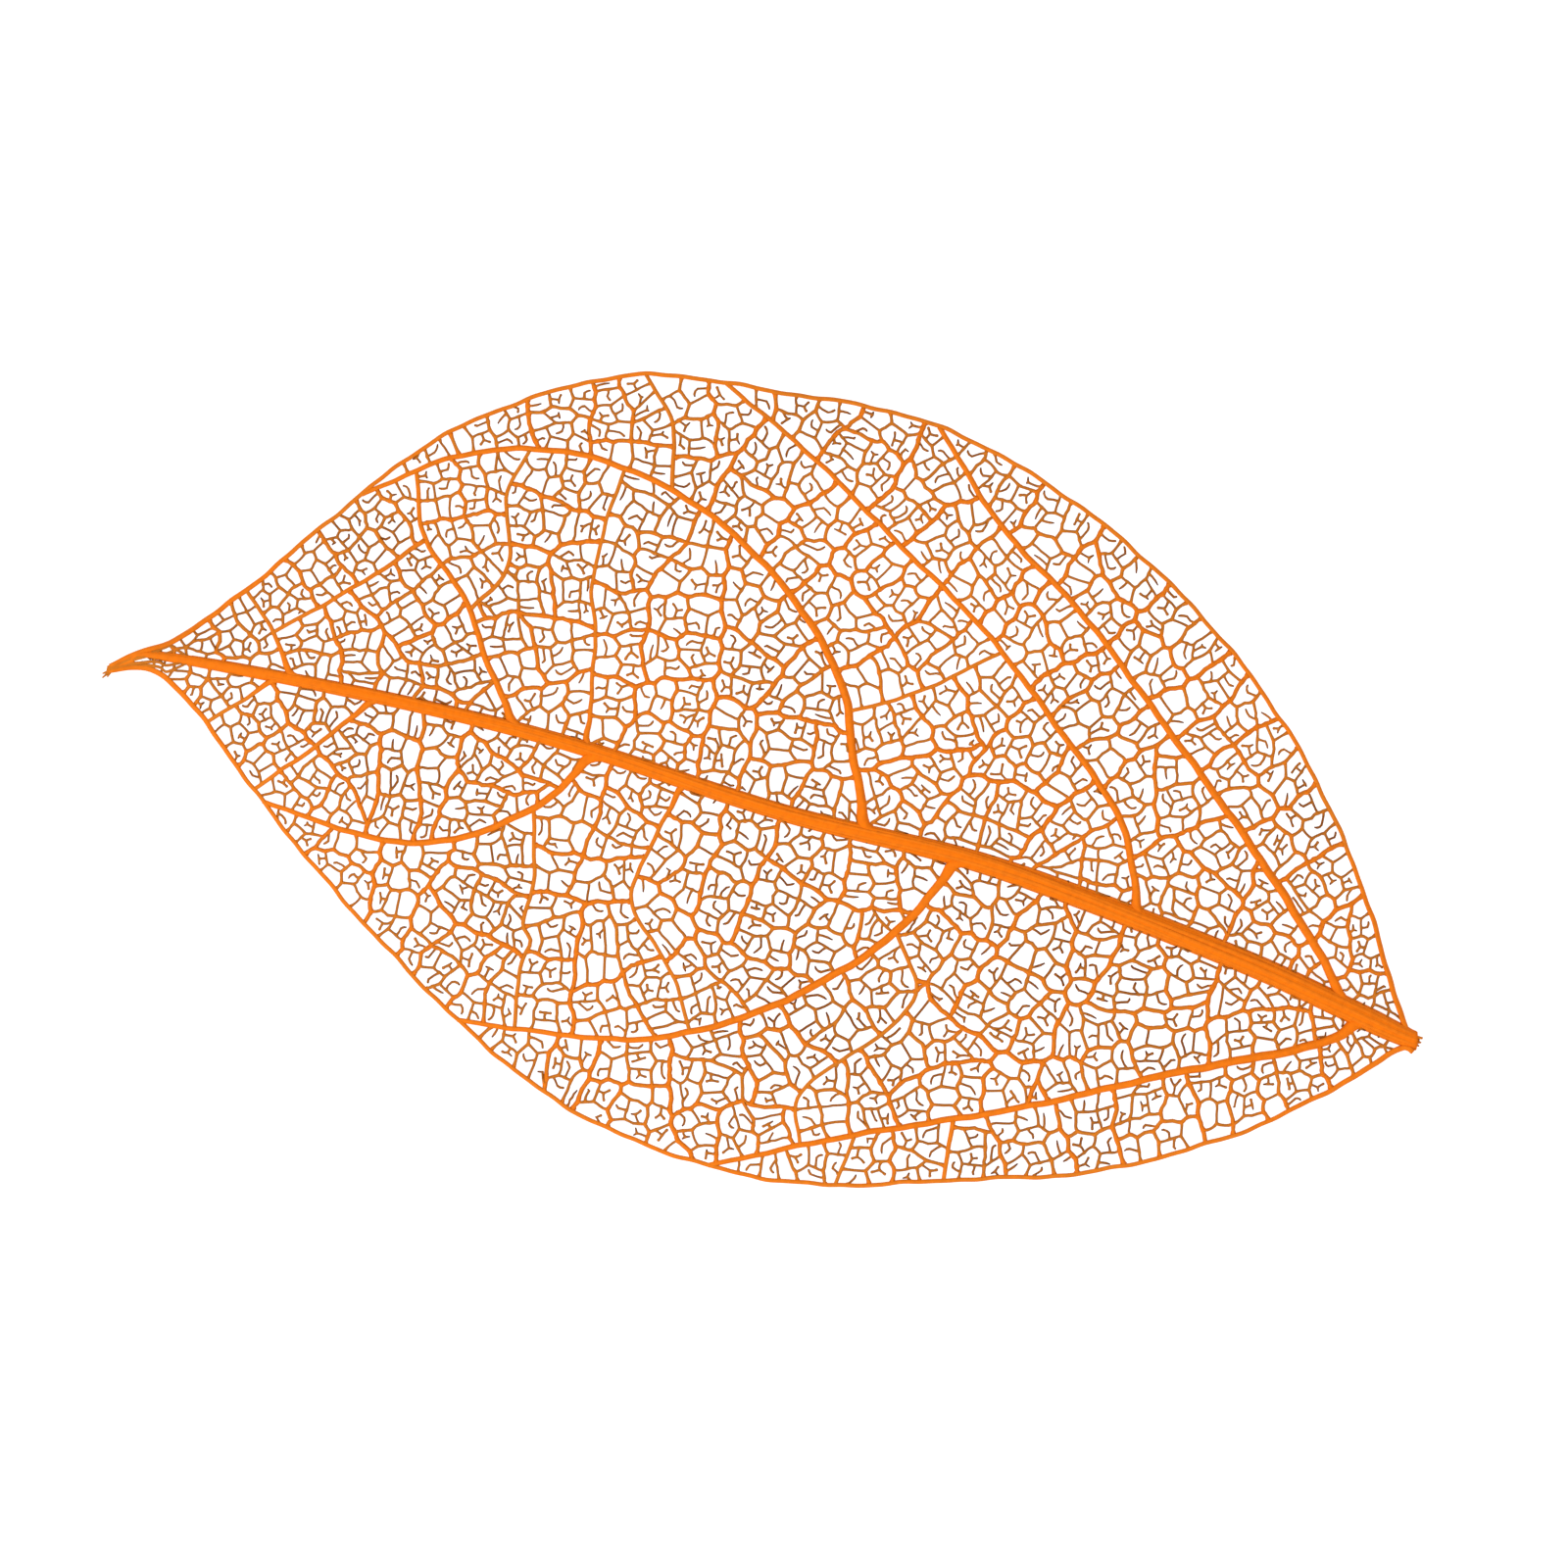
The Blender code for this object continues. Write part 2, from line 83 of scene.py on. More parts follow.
SIDE_VEINS = {
    "left_low": ([(1.0, 3.4), (-1.6, 6.0), (-6.1, 14.8), (-10.9, 23.6), (-16.0, 34.4),
                  (-20.2, 42.6)], 0.67, 0.34),
    "left_mid": ([(3.9, 32.0), (-2.0, 34.9), (-6.2, 38.4), (-10.3, 43.2), (-13.4, 49.0),
                  (-14.8, 55.5), (-15.6, 61.2)], 0.67, 0.32),
    "left_high": ([(4.0, 57.0), (-0.4, 59.8), (-4.0, 64.4), (-5.4, 69.0), (-5.4, 73.6),
                   (-5.0, 77.4)], 0.60, 0.32),
    "left_tip": ([(3.5, 71.9), (0.6, 74.1), (-1.5, 75.7), (-4.2, 78.0)], 0.37, 0.28),
    "left_last": ([(2.9, 78.4), (1.2, 80.3), (-1.0, 82.4)], 0.33, 0.26),
    "right_low": ([(1.1, 4.6), (5.2, 8.6), (10.6, 14.8), (16.0, 21.6), (21.4, 28.6),
                   (25.6, 35.4), (30.6, 41.2)], 0.67, 0.34),
    "right_second": ([(3.2, 19.6), (9.0, 22.6), (13.6, 28.0), (18.6, 34.6), (22.6, 41.6),
                      (26.6, 48.6), (30.0, 55.6)], 0.53, 0.30),
    "right_mid": ([(3.6, 38.4), (8.0, 40.6), (13.0, 43.0), (18.0, 48.4), (21.6, 55.6),
                   (22.6, 63.6), (20.6, 70.8), (16.2, 76.8)], 0.65, 0.32),
    "right_high": ([(4.0, 62.4), (7.2, 65.2), (11.6, 68.4), (14.4, 71.8), (18.8, 73.8)],
                   0.50, 0.30, "right_mid"),
    "right_tip": ([(3.0, 77.6), (5.8, 79.8), (8.0, 82.4)], 0.40, 0.26),
    "right_link": ([(14.4, 71.8), (10.6, 75.0), (5.8, 79.8)], 0.33, 0.28, "right_tip",
                   "right_high"),
    "left_inner": ([(3.7, 50.8), (-0.6, 51.9), (-4.9, 52.2), (-7.2, 49.8), (-9.4, 47.8),
                    (-12.0, 46.2)], 0.30, 0.27, "left_mid"),
    "left_tie_high": ([(-0.6, 60.1), (-5.1, 58.8), (-8.0, 58.7), (-9.2, 57.9), (-10.9, 58.1),
                       (-15.0, 57.4)], 0.30, 0.26, "left_mid", "left_high"),
    "left_tie_mid": ([(-2.0, 34.9), (-5.2, 32.6), (-8.0, 33.4), (-10.7, 35.6), (-14.1, 38.1),
                      (-17.2, 37.2)], 0.28, 0.27, "left_low", "left_mid"),
    "left_tie_edge": ([(-15.7, 33.8), (-19.1, 34.2)], 0.26, 0.25, "margin", "left_low"),
    "left_tie_low": ([(-13.0, 27.8), (-17.1, 27.3)], 0.34, 0.30, "margin", "left_low"),
    "right_tie_high": ([(10.9, 67.4), (14.3, 66.0), (18.5, 67.4), (22.2, 66.8)], 0.30, 0.26,
                       "right_mid", "right_high"),
    "right_inner": ([(4.0, 57.6), (7.8, 58.5), (11.3, 59.2), (14.3, 60.3), (18.5, 60.6),
                     (22.4, 60.4)], 0.30, 0.27, "right_mid"),
    "right_tie_mid": ([(11.0, 42.0), (13.4, 38.0), (17.0, 33.6)], 0.28, 0.26, "right_second",
                      "right_mid"),
    "right_tie_edge": ([(22.0, 57.0), (26.2, 58.2), (29.6, 61.0)], 0.30, 0.26, "margin",
                       "right_mid"),
}
MARGIN_WIDTH = 0.3
print("side veins", len(SIDE_VEINS))

# %% [markdown]
# ## Working with lines
# A short list of points becomes a smooth curve with a Catmull-Rom spline, which passes through
# every point it is given. The curve is then cut again into even steps, so that distance along it
# is easy to use. The other helpers find the nearest spot on a curve and test what lies inside.

# %% Line helpers
def travelled(line):
    """Return the distance along the line at each of its points."""
    return np.concatenate([[0], np.cumsum(np.linalg.norm(np.diff(line, axis=0), axis=1))])


def even_steps(line, step):
    """Cut a line again so that its points are one step apart."""
    run = travelled(line)
    count = max(2, int(round(run[-1] / step)) + 1)
    want = np.linspace(0, run[-1], count)
    return np.column_stack([np.interp(want, run, line[:, i]) for i in range(line.shape[1])])


def smooth_line(points, step=0.4):
    """Return a smooth line through the points, cut into even steps."""
    pts = np.array(points, float)
    ends = np.vstack([2 * pts[0] - pts[1], pts, 2 * pts[-1] - pts[-2]])
    fine = []
    for i in range(len(pts) - 1):
        a, b, c, d = ends[i:i + 4]
        for t in np.linspace(0, 1, 20, endpoint=False):
            bend = (2 * a - 5 * b + 4 * c - d) * t * t
            twist = (3 * b - a - 3 * c + d) * t ** 3
            fine.append(0.5 * (2 * b + (c - a) * t + bend + twist))
    fine.append(pts[-1])
    return even_steps(np.array(fine), step)


def sideways(line):
    """Return the direction to the left of a line at each of its points, one unit long."""
    heading = np.gradient(line, axis=0)
    heading /= np.linalg.norm(heading, axis=1)[:, None]
    return np.column_stack([-heading[:, 1], heading[:, 0]])


def x_at(line, y):
    """Return how far across a line is at given heights up the leaf."""
    line = np.array(line)
    return np.interp(y, line[:, 1], line[:, 0])


def nearest_on_line(points, line):
    """Return, for each point, the nearest spot on the line, its distance and how far along."""
    points = np.atleast_2d(points)
    start, step = line[:-1], np.diff(line, axis=0)
    size = np.maximum((step ** 2).sum(1), 1e-12)
    gap = points[:, None] - start[None]
    t = np.clip((gap * step[None]).sum(2) / size, 0, 1)
    spot = start[None] + t[..., None] * step[None]
    away = np.linalg.norm(points[:, None] - spot, axis=2)
    best = away.argmin(1)
    rows = np.arange(len(points))
    run = travelled(line)
    along = run[best] + t[rows, best] * np.sqrt(size[best])
    return spot[rows, best], away[rows, best], along / run[-1]


print("midrib length in mm", round(travelled(smooth_line(MIDRIB))[-1], 1))


# %% Area helpers
def inside(points, loop):
    """Tell which points are inside the closed loop."""
    x, y = points[:, 0, None], points[:, 1, None]
    x0, y0 = loop[None, :, 0], loop[None, :, 1]
    x1, y1 = np.roll(x0, -1, axis=1), np.roll(y0, -1, axis=1)
    rise = np.where(y1 == y0, 1e-12, y1 - y0)
    left_of = x < (x1 - x0) * (y - y0) / rise + x0
    return (((y0 > y) != (y1 > y)) & left_of).sum(1) % 2 == 1


def turn(p, q, r):
    """Return twice the signed area of the triangle through three points."""
    return (q[..., 0] - p[..., 0]) * (r[..., 1] - p[..., 1]) \
        - (q[..., 1] - p[..., 1]) * (r[..., 0] - p[..., 0])


OUTLINE = np.vstack([smooth_line(RIGHT_EDGE), smooth_line(LEFT_EDGE)[::-1]])
outline_area = abs(turn(OUTLINE[:1], OUTLINE[1:-1], OUTLINE[2:]).sum()) / 2
print("blade area in square mm", round(float(outline_area)))

# %% [markdown]
# ## The guides
# Everything finer than the side veins has to keep to them: no small vein crosses a big one.
# So the margin, the midrib and the side veins are kept together as guides. Each one knows its
# line and its width anywhere along it.

# %% Guides
TAPER = 0.8
ROOM_FOR_MIDRIB = (1.7, 0.5)
GUIDE_NAMES = ["margin", "midrib"]
GUIDE_LINES = [np.vstack([OUTLINE, OUTLINE[:1]]), smooth_line(MIDRIB)]
GUIDE_WIDTHS = [(MARGIN_WIDTH, MARGIN_WIDTH), ROOM_FOR_MIDRIB]


def on_line(name, point):
    """Return the spot on a named guide that is nearest to the point."""
    return tuple(nearest_on_line(point, GUIDE_LINES[GUIDE_NAMES.index(name)])[0][0])


def add_guide(name, points, start, end, lands_on="margin", leaves="midrib"):
    """Add a vein to the guides, from the line that it leaves to the line that it ends on."""
    points = [on_line(leaves, points[0])] + points[1:-1] + [on_line(lands_on, points[-1])]
    GUIDE_NAMES.append(name)
    GUIDE_LINES.append(smooth_line(points))
    GUIDE_WIDTHS.append((start, end))


for name, vein in SIDE_VEINS.items():
    add_guide(name, *vein)


def guide_width(index, point):
    """Return the width of one guide at the spot nearest to the point."""
    if index == 1:
        return float(np.interp(point[1], *zip(*MIDRIB_WIDTHS)))
    along = nearest_on_line(point, GUIDE_LINES[index])[2][0]
    start, end = GUIDE_WIDTHS[index]
    return float(start + (end - start) * along ** TAPER)


def to_guide(index, point):
    """Return the spot on a guide that is nearest to the point."""
    return Vector(nearest_on_line(point, GUIDE_LINES[index])[0][0])


print("guides", len(GUIDE_LINES))

# %% [markdown]
# ## The vein graph
# The plan of the net is kept as a graph: nodes, veins between nodes, and loops, which are rings
# of nodes. It begins with two loops, the left and the right half of the blade, which share the
# midrib. Everything after that is one step, repeated: a vein grows across a loop and cuts it in
# two. The side veins are laid first, along their own lines.

# %% The vein graph
rng = random.Random(7)
THICKEST = 0.27


def key(a, b):
    """Return the name under which the vein between two nodes is kept."""
    return min(a, b), max(a, b)


def each_wall(ring):
    """Return each item of a ring together with the next one."""
    return zip(ring, ring[1:] + ring[:1])


class VeinGraph:
    """Nodes, the veins between them as [guide, width], and the loops as rings of nodes."""

    def __init__(self):
        self.at = {}
        self.veins = {}
        self.loops = {}
        self.beside = {}

    def add_node(self, spot):
        """Add a node. Return its number."""
        new = max(self.at, default=-1) + 1
        self.at[new] = Vector(spot)
        return new

    def add_vein(self, a, b, own, wide, loops):
        """Add a vein on a guide, or on none, and name the loops on its two sides."""
        self.veins[key(a, b)] = [own, wide]
        self.beside[key(a, b)] = set(loops)

    def add_loop(self, ring, owners):
        """Add a loop and its walls, each with the guide that it lies on."""
        number = len(self.loops)
        self.loops[number] = ring
        for (a, b), own in zip(each_wall(ring), owners):
            near = self.beside.get(key(a, b), set())
            self.add_vein(a, b, own, THICKEST, near | {number})

    def split(self, a, b, share):
        """Put a node on a vein and tell the loops beside it. Return the node."""
        own, wide = self.veins.pop(key(a, b))
        loops = self.beside.pop(key(a, b))
        new = self.add_node(self.at[a].lerp(self.at[b], share))
        if own >= 0:
            self.at[new] = to_guide(own, self.at[new])
        self.add_vein(a, new, own, wide, loops)
        self.add_vein(new, b, own, wide, loops)
        for number in loops:
            ring = self.loops[number]
            place = next(n for n, i in enumerate(ring) if {i, ring[n - 1]} == {a, b})
            ring.insert(place, new)
        return new

    def cut(self, number, path, own, wide):
        """Cut a loop in two along a path of nodes. Return the number of the second loop."""
        ring = self.loops[number]
        if ring.index(path[0]) > ring.index(path[-1]):
            path = path[::-1]
        first, last = ring.index(path[0]), ring.index(path[-1])
        new = len(self.loops)
        old_walls = ring[last:] + ring[:first + 1]
        for a, b in zip(old_walls, old_walls[1:]):
            self.beside[key(a, b)] ^= {number, new}
        for a, b in zip(path, path[1:]):
            self.add_vein(a, b, own, wide, {number, new})
        self.loops[number] = ring[first:last + 1] + path[-2:0:-1]
        self.loops[new] = old_walls + path[1:-1]
        return new

    def spots(self, number):
        """Return the positions of a loop's nodes."""
        return [self.at[i] for i in self.loops[number]]

    def wall(self, number, n):
        """Return the two nodes of one wall of a loop."""
        ring = self.loops[number]
        return ring[n], ring[(n + 1) % len(ring)]

    def merge(self, keep, lost):
        """Let the first node take over every vein of the second."""
        self.veins.pop(key(keep, lost))
        self.beside.pop(key(keep, lost))
        for a, b in [pair for pair in self.veins if lost in pair]:
            far = a if b == lost else b
            own, wide = self.veins.pop((a, b))
            self.add_vein(keep, far, own, wide, self.beside.pop((a, b)))
        for ring in self.loops.values():
            if lost in ring and keep in ring:
                ring.remove(lost)
            elif lost in ring:
                ring[ring.index(lost)] = keep
        del self.at[lost]

    def neighbours(self, i):
        """Return the nodes at the far ends of a node's veins."""
        return {a if b == i else b for a, b in self.veins if i in (a, b)}

    def owners(self):
        """Return the guides that each node's veins lie on."""
        found = {i: set() for i in self.at}
        for (a, b), (own, _) in self.veins.items():
            if own >= 0:
                found[a].add(own)
                found[b].add(own)
        return found


print("graph ready")

# %% The first two loops
GUIDE_STEP = 1.5
graph = VeinGraph()
rib = [graph.add_node(p) for p in even_steps(GUIDE_LINES[1], GUIDE_STEP)]
for edge in (RIGHT_EDGE, LEFT_EDGE):
    side = [graph.add_node(p) for p in even_steps(smooth_line(edge), GUIDE_STEP)[::-1]]
    graph.add_loop(rib + side, [1] * (len(rib) - 1) + [0] * (len(side) + 1))
print("nodes", len(graph.at), "loops", len(graph.loops))


# %% Lay the side veins
NEAR_CORNER = 0.25


def loop_around(graph, point):
    """Return the number of the loop that a point lies in."""
    point = np.array([point])
    return next(n for n in graph.loops if inside(point, np.array(graph.spots(n)))[0])


def node_at(graph, number, point):
    """Return a node of the loop at the point: one that is there already, or a new one."""
    spots = graph.spots(number)
    line = np.array(spots + spots[:1])
    along = nearest_on_line(point, line)[2][0] * travelled(line)[-1]
    wall = min(int(np.searchsorted(travelled(line), along, "right")) - 1, len(spots) - 1)
    a, b = graph.wall(number, wall)
    share = (along - travelled(line)[wall]) / (graph.at[a] - graph.at[b]).length
    if NEAR_CORNER < share < 1 - NEAR_CORNER:
        return graph.split(a, b, share)
    near = a if share < 0.5 else b
    graph.at[near] = Vector(point)
    return near


def lay_guide(graph, index):
    """Lay one side vein in the graph."""
    line = GUIDE_LINES[index]
    number = loop_around(graph, line[len(line) // 2])
    ends = [node_at(graph, number, line[0]), node_at(graph, number, line[-1])]
    middle = [graph.add_node(p) for p in even_steps(line, GUIDE_STEP)[1:-1]]
    graph.cut(number, [ends[0]] + middle + [ends[1]], index, THICKEST)


for index in range(2, len(GUIDE_LINES)):
    lay_guide(graph, index)
print("loops between the side veins", len(graph.loops))

# %% [markdown]
# ## Loops within loops
# Between the side veins the leaf kept dividing: a new vein grows across a loop, leaves and meets
# the old ones nearly square, and is thinner the smaller the loop is. Then each half divides
# again, until the meshes are about a millimetre and a half across. A Voronoi foam would be
# quicker to write, but it gives bubbles with six sides. Cutting each loop across its short way,
# again and again, gives the four and five-sided meshes with T-shaped joints of a real leaf, long
# veins that run on through many joints, and the widths come for free.

# %% Ring helpers
AREA_SCALE = [(0, 0.45), (3, 0.55), (12, 1), (58, 1), (70, 0.82), (78, 0.6), (84, 0.42),
              (LENGTH, 0.3)]


def ring_area(spots):
    """Return the signed area of a ring of points."""
    return sum(p.x * q.y - q.x * p.y for p, q in each_wall(spots)) / 2


def ring_centre(spots):
    """Return the centre of a ring's area."""
    area = ring_area(spots)
    total = Vector((0, 0))
    for p, q in each_wall(spots):
        total += (p + q) * (p.x * q.y - q.x * p.y)
    return total / (6 * area) if abs(area) > 1e-6 else sum(spots, Vector((0, 0))) / len(spots)


def wall_distance(spot, spots):
    """Return the distance from a spot to the nearest wall of a ring."""
    best = 1e9
    for p, q in each_wall(spots):
        along = q - p
        t = min(max((spot - p).dot(along) / max(along.length_squared, 1e-12), 0.0), 1.0)
        best = min(best, (spot - p - along * t).length)
    return best


def turned(way, degrees):
    """Return a direction turned to the left by some degrees."""
    angle = math.radians(degrees)
    return Vector((way.x * math.cos(angle) - way.y * math.sin(angle),
                   way.x * math.sin(angle) + way.y * math.cos(angle)))


def mesh_scale(y):
    """Return how much smaller a loop's area is at a height up the leaf."""
    return float(np.interp(y, *zip(*AREA_SCALE)))


print("mesh scale at the tip", mesh_scale(LENGTH))


# %% Choose where a vein grows
TRIES = 26
CORNER_CLEAR = 0.45
LENGTH_COST, UNEVEN_COST, SLANT_COST, CORNER_COST = 1.2, 2.4, 1.6, 1.4
SPREAD = 9


def first_hit(start, way, skip, corners, walls):
    """Return how far a straight vein grows, the wall that it meets and the share along it."""
    across = way.x * walls[:, 1] - way.y * walls[:, 0]
    across = np.where(np.abs(across) < 1e-9, 1e-9, across)
    gap = corners - np.array(start)
    reach = (gap[:, 0] * walls[:, 1] - gap[:, 1] * walls[:, 0]) / across
    share = (gap[:, 0] * way.y - gap[:, 1] * way.x) / across
    reach = np.where((share > 0) & (share < 1) & (reach > 1e-6), reach, np.inf)
    reach[skip] = np.inf
    wall = int(reach.argmin())
    return float(reach[wall]), wall, float(share[wall])


def cut_score(first, last, corners, walls, area, reach, way):
    """Return how badly a cut divides a loop: long, uneven, slanting or close to a corner."""
    starts = [corners[n] + share * walls[n] for n, share in (first, last)]
    count = (last[0] - first[0]) % len(corners)
    between = corners[[(first[0] + k) % len(corners) for k in range(1, count + 1)]]
    part = np.vstack([starts[:1], between, starts[1:]])
    ahead = np.roll(part, -1, axis=0)
    half = abs((part[:, 0] * ahead[:, 1] - part[:, 1] * ahead[:, 0]).sum() / 2) / abs(area)
    uneven = abs(half - 0.5)
    sizes = [np.linalg.norm(walls[n]) for n, _ in (first, last)]
    wall = walls[last[0]] / sizes[1]
    slant = 1 - abs(way.x * wall[1] - way.y * wall[0])
    room = min(min(share, 1 - share) * size for (_, share), size in zip((first, last), sizes))
    cramped = max(0.0, CORNER_CLEAR - room)
    return LENGTH_COST * reach / math.sqrt(abs(area)) + UNEVEN_COST * uneven ** 1.5 \
        + SLANT_COST * slant + CORNER_COST * cramped


def choose_cut(spots):
    """Return the best of many tried cuts as ((wall, share), (wall, share), heading)."""
    corners = np.array(spots)
    walls = np.roll(corners, -1, axis=0) - corners
    sizes = np.linalg.norm(walls, axis=1)
    area = ring_area(spots)
    inward = 90 if area > 0 else -90
    best, best_score = None, 1e9
    for _ in range(TRIES):
        n = rng.choices(range(len(spots)), sizes)[0]
        share = rng.uniform(0.1, 0.9)
        way = turned(Vector(walls[n]).normalized(), inward + rng.gauss(0, SPREAD))
        start = spots[n] + share * Vector(walls[n])
        reach, wall, far_share = first_hit(start, way, n, corners, walls)
        if math.isinf(reach):
            continue
        cut = (n, share), (wall, far_share)
        score = cut_score(*cut, corners, walls, area, reach, way)
        if score < best_score:
            best, best_score = (*cut, way), score
    return best


print("tries for each cut", TRIES)

# %% Divide the loops
MESH_AREA = 3.25
RETRIES = 8
AREA_STEPS = [3, 6, 14, 32, 70]
AREA_WIDTHS = [0.172, 0.2, 0.245, 0.285, 0.31]
CORNER_ROOM = 0.42
ARC_STEP, ARC_BEND, ARC_ROOM = 2.2, 0.09, 0.5
ROUND, SLIM_LIMIT = 1.3, 2.0


def slimness(spots):
    """Return how slim a ring is: 1 for a circle, and more the longer and thinner it is."""
    around = sum((q - p).length for p, q in each_wall(spots))
    return around ** 2 / (4 * math.pi * abs(ring_area(spots)))


def cut_node(graph, a, b, share):
    """Return the node where a new vein ends: a corner that is near, or a new node."""
    size = (graph.at[a] - graph.at[b]).length
    if size < 2 * CORNER_ROOM:
        return a if share < 0.5 else b
    return graph.split(a, b, min(max(share, CORNER_ROOM / size), 1 - CORNER_ROOM / size))


def arc_nodes(graph, first, last, way, spots):
    """Return nodes along a long new vein, which leaves square to its wall and bends a little."""
    start, end = graph.at[first], graph.at[last]
    size = (end - start).length
    count = int(size / ARC_STEP)
    bend = rng.uniform(-ARC_BEND, ARC_BEND)
    side = Vector((start.y - end.y, end.x - start.x)) * bend
    middle = [start.lerp(end, n / (count + 1)) + side * math.sin(math.pi * n / (count + 1))
              for n in range(1, count + 1)]
    if any(wall_distance(spot, spots) < ARC_ROOM for spot in middle):
        middle = []
    return [graph.add_node(spot) for spot in middle]


def is_large(graph, number):
    """Tell whether a loop is still too large, or too long, to be a mesh."""
    spots = graph.spots(number)
    limit = MESH_AREA * mesh_scale(spots[0].y) * rng.uniform(0.85, 1.15)
    slim = min(slimness(spots) / ROUND, SLIM_LIMIT)
    return abs(ring_area(spots)) * slim ** 0.6 > limit


def divide(graph, number):
    """Cut one loop in two with a new vein. Return the new loop's number, or None."""
    spots = graph.spots(number)
    area = abs(ring_area(spots))
    cut = choose_cut(spots)
    if cut is None:
        return None
    sides = [(*graph.wall(number, wall), share) for wall, share in cut[:2]]
    first, last = [cut_node(graph, *side) for side in sides]
    if first == last or key(first, last) in graph.veins:
        return None
    wide = float(np.interp(area, AREA_STEPS, AREA_WIDTHS)) * rng.uniform(0.93, 1.07)
    path = [first] + arc_nodes(graph, first, last, cut[2], spots) + [last]
    return graph.cut(number, path, -1, wide)


def divide_all(graph):
    """Divide loops until none is larger than a mesh. A failed cut is tried again."""
    waiting = sorted(graph.loops)
    while waiting:
        number = waiting.pop()
        tries = (divide(graph, number) for _ in range(RETRIES if is_large(graph, number) else 0))
        new = next((made for made in tries if made is not None), None)
        if new is not None:
            waiting += [number, new]


divide_all(graph)
print("nodes", len(graph.at), "veins", len(graph.veins), "meshes", len(graph.loops))

# %% [markdown]
# ## Tension
# A wide vein is hard to bend and keeps straight, and a thin one that hangs on it is pulled
# square to it. Treating every vein as a stretched thread, with more pull the wider it is, and
# letting the nodes slide a little gives the same look. Small loops swell and large ones shrink,
# so that the meshes even out. Nodes of the guides slide along them. At the end the two joints of
# a very short vein become one, because there the two webs would overlap.

# %% Relax
PUSH_LIMIT, PUSH_SHARE = 0.12, 0.4
SHRINK_LIMIT, SWELL_LIMIT = -0.3, 0.4
SETTLED_SHARE = 0.62
ROOM_BESIDE = 0.5
SHORTEST = 0.42


def node_pull(graph):
    """Return the weighted mean of each node's neighbours."""
    pull = {i: Vector((0, 0)) for i in graph.at}
    load = dict.fromkeys(graph.at, 0.0)
    for (a, b), (own, wide) in graph.veins.items():
        force = wide ** 2
        pull[a] += force * graph.at[b]
        pull[b] += force * graph.at[a]
        load[a] += force
        load[b] += force
    return {i: pull[i] / load[i] for i in graph.at}


def evening_push(graph):
    """Return how each node moves when small loops swell and large ones shrink."""
    push = {i: Vector((0, 0)) for i in graph.at}
    for number, ring in graph.loops.items():
        spots = graph.spots(number)
        centre = ring_centre(spots)
        if wall_distance(centre, spots) < 0.1:
            continue
        want = SETTLED_SHARE * MESH_AREA * mesh_scale(centre.y)
        swell = math.sqrt(want / abs(ring_area(spots))) - 1
        swell = min(max(swell, SHRINK_LIMIT), SWELL_LIMIT)
        for i in ring:
            push[i] += (graph.at[i] - centre) * swell * PUSH_SHARE
    return {i: p if p.length < PUSH_LIMIT else p.normalized() * PUSH_LIMIT
            for i, p in push.items()}


def keep_clear(graph, push, free):
    """Add to the push what keeps the free nodes clear of the guides' own thickness."""
    spots = np.array([graph.at[i] for i in free])
    for line, (start, end) in zip(GUIDE_LINES, GUIDE_WIDTHS):
        near, away, along = nearest_on_line(spots, line)
        lack = np.maximum((start + (end - start) * along) / 2 + ROOM_BESIDE - away, 0)
        for i, move in zip(free, 0.5 * (lack / np.maximum(away, 1e-6))[:, None] * (spots - near)):
            push[i] += Vector(move)


def relax(graph, rounds, step):
    """Let every vein pull on its ends, the wide ones harder, and even out the loops."""
    owners = graph.owners()
    for _ in range(rounds):
        push, pull = evening_push(graph), node_pull(graph)
        keep_clear(graph, push, [i for i in graph.at if not owners[i]])
        for i in graph.at:
            if len(owners[i]) > 1:
                continue
            spot = graph.at[i].lerp(pull[i], step) + push[i]
            graph.at[i] = to_guide(min(owners[i]), spot) if owners[i] else spot


def merge_short(graph):
    """Merge the two ends of every vein that is too short to be seen. Return how many."""
    owners = graph.owners()
    merged = 0
    for a, b in sorted(graph.veins):
        if (a, b) not in graph.veins or (graph.at[a] - graph.at[b]).length > SHORTEST:
            continue
        if owners[a] and owners[b] or graph.neighbours(a) & graph.neighbours(b):
            continue
        keep, lost = (b, a) if owners[b] else (a, b)
        if not owners[keep]:
            graph.at[keep] = (graph.at[a] + graph.at[b]) / 2
        graph.merge(keep, lost)
        merged += 1
    return merged


relax(graph, rounds=4, step=0.3)
print("short veins merged", merge_short(graph))
areas = [abs(ring_area(graph.spots(number))) for number in graph.loops]
print("mean mesh area in square mm", round(sum(areas) / len(areas), 2))

# %% [markdown]
# ## Free-ending veinlets
# Nearly every mesh holds a last veinlet that grows in from one wall and simply stops: a hook, a
# Y or a T, with a slightly swollen end. They are easy to leave out, and without them the net
# looks like chicken wire. Each one starts at a new node in a wall, heads for the middle of its
# mesh, and may bend or fork there. An arm that would touch a wall is shortened.

# %% Grow the veinlets
VEINLET = 0.162
ROOT_WALL = 0.75
FREE = -2
EMPTY_SHARE = 0.03
ARM_ROOM, MESH_ROOM, FORK_ROOM = 0.25, 0.24, 0.42
HOOKS, ELBOWS, FORKS = 0.22, 0.64, 0.88


def add_arm(graph, start, way, reach, spots):
    """Add one arm of a veinlet, shortened until it is clear of the walls. Return its end."""
    for _ in range(5):
        end = graph.at[start] + way * reach
        if wall_distance(end, spots) > ARM_ROOM:
            new = graph.add_node(end)
            graph.veins[(start, new)] = [FREE, VEINLET * rng.uniform(0.9, 1.12)]
            return new
        reach *= 0.75
    return None


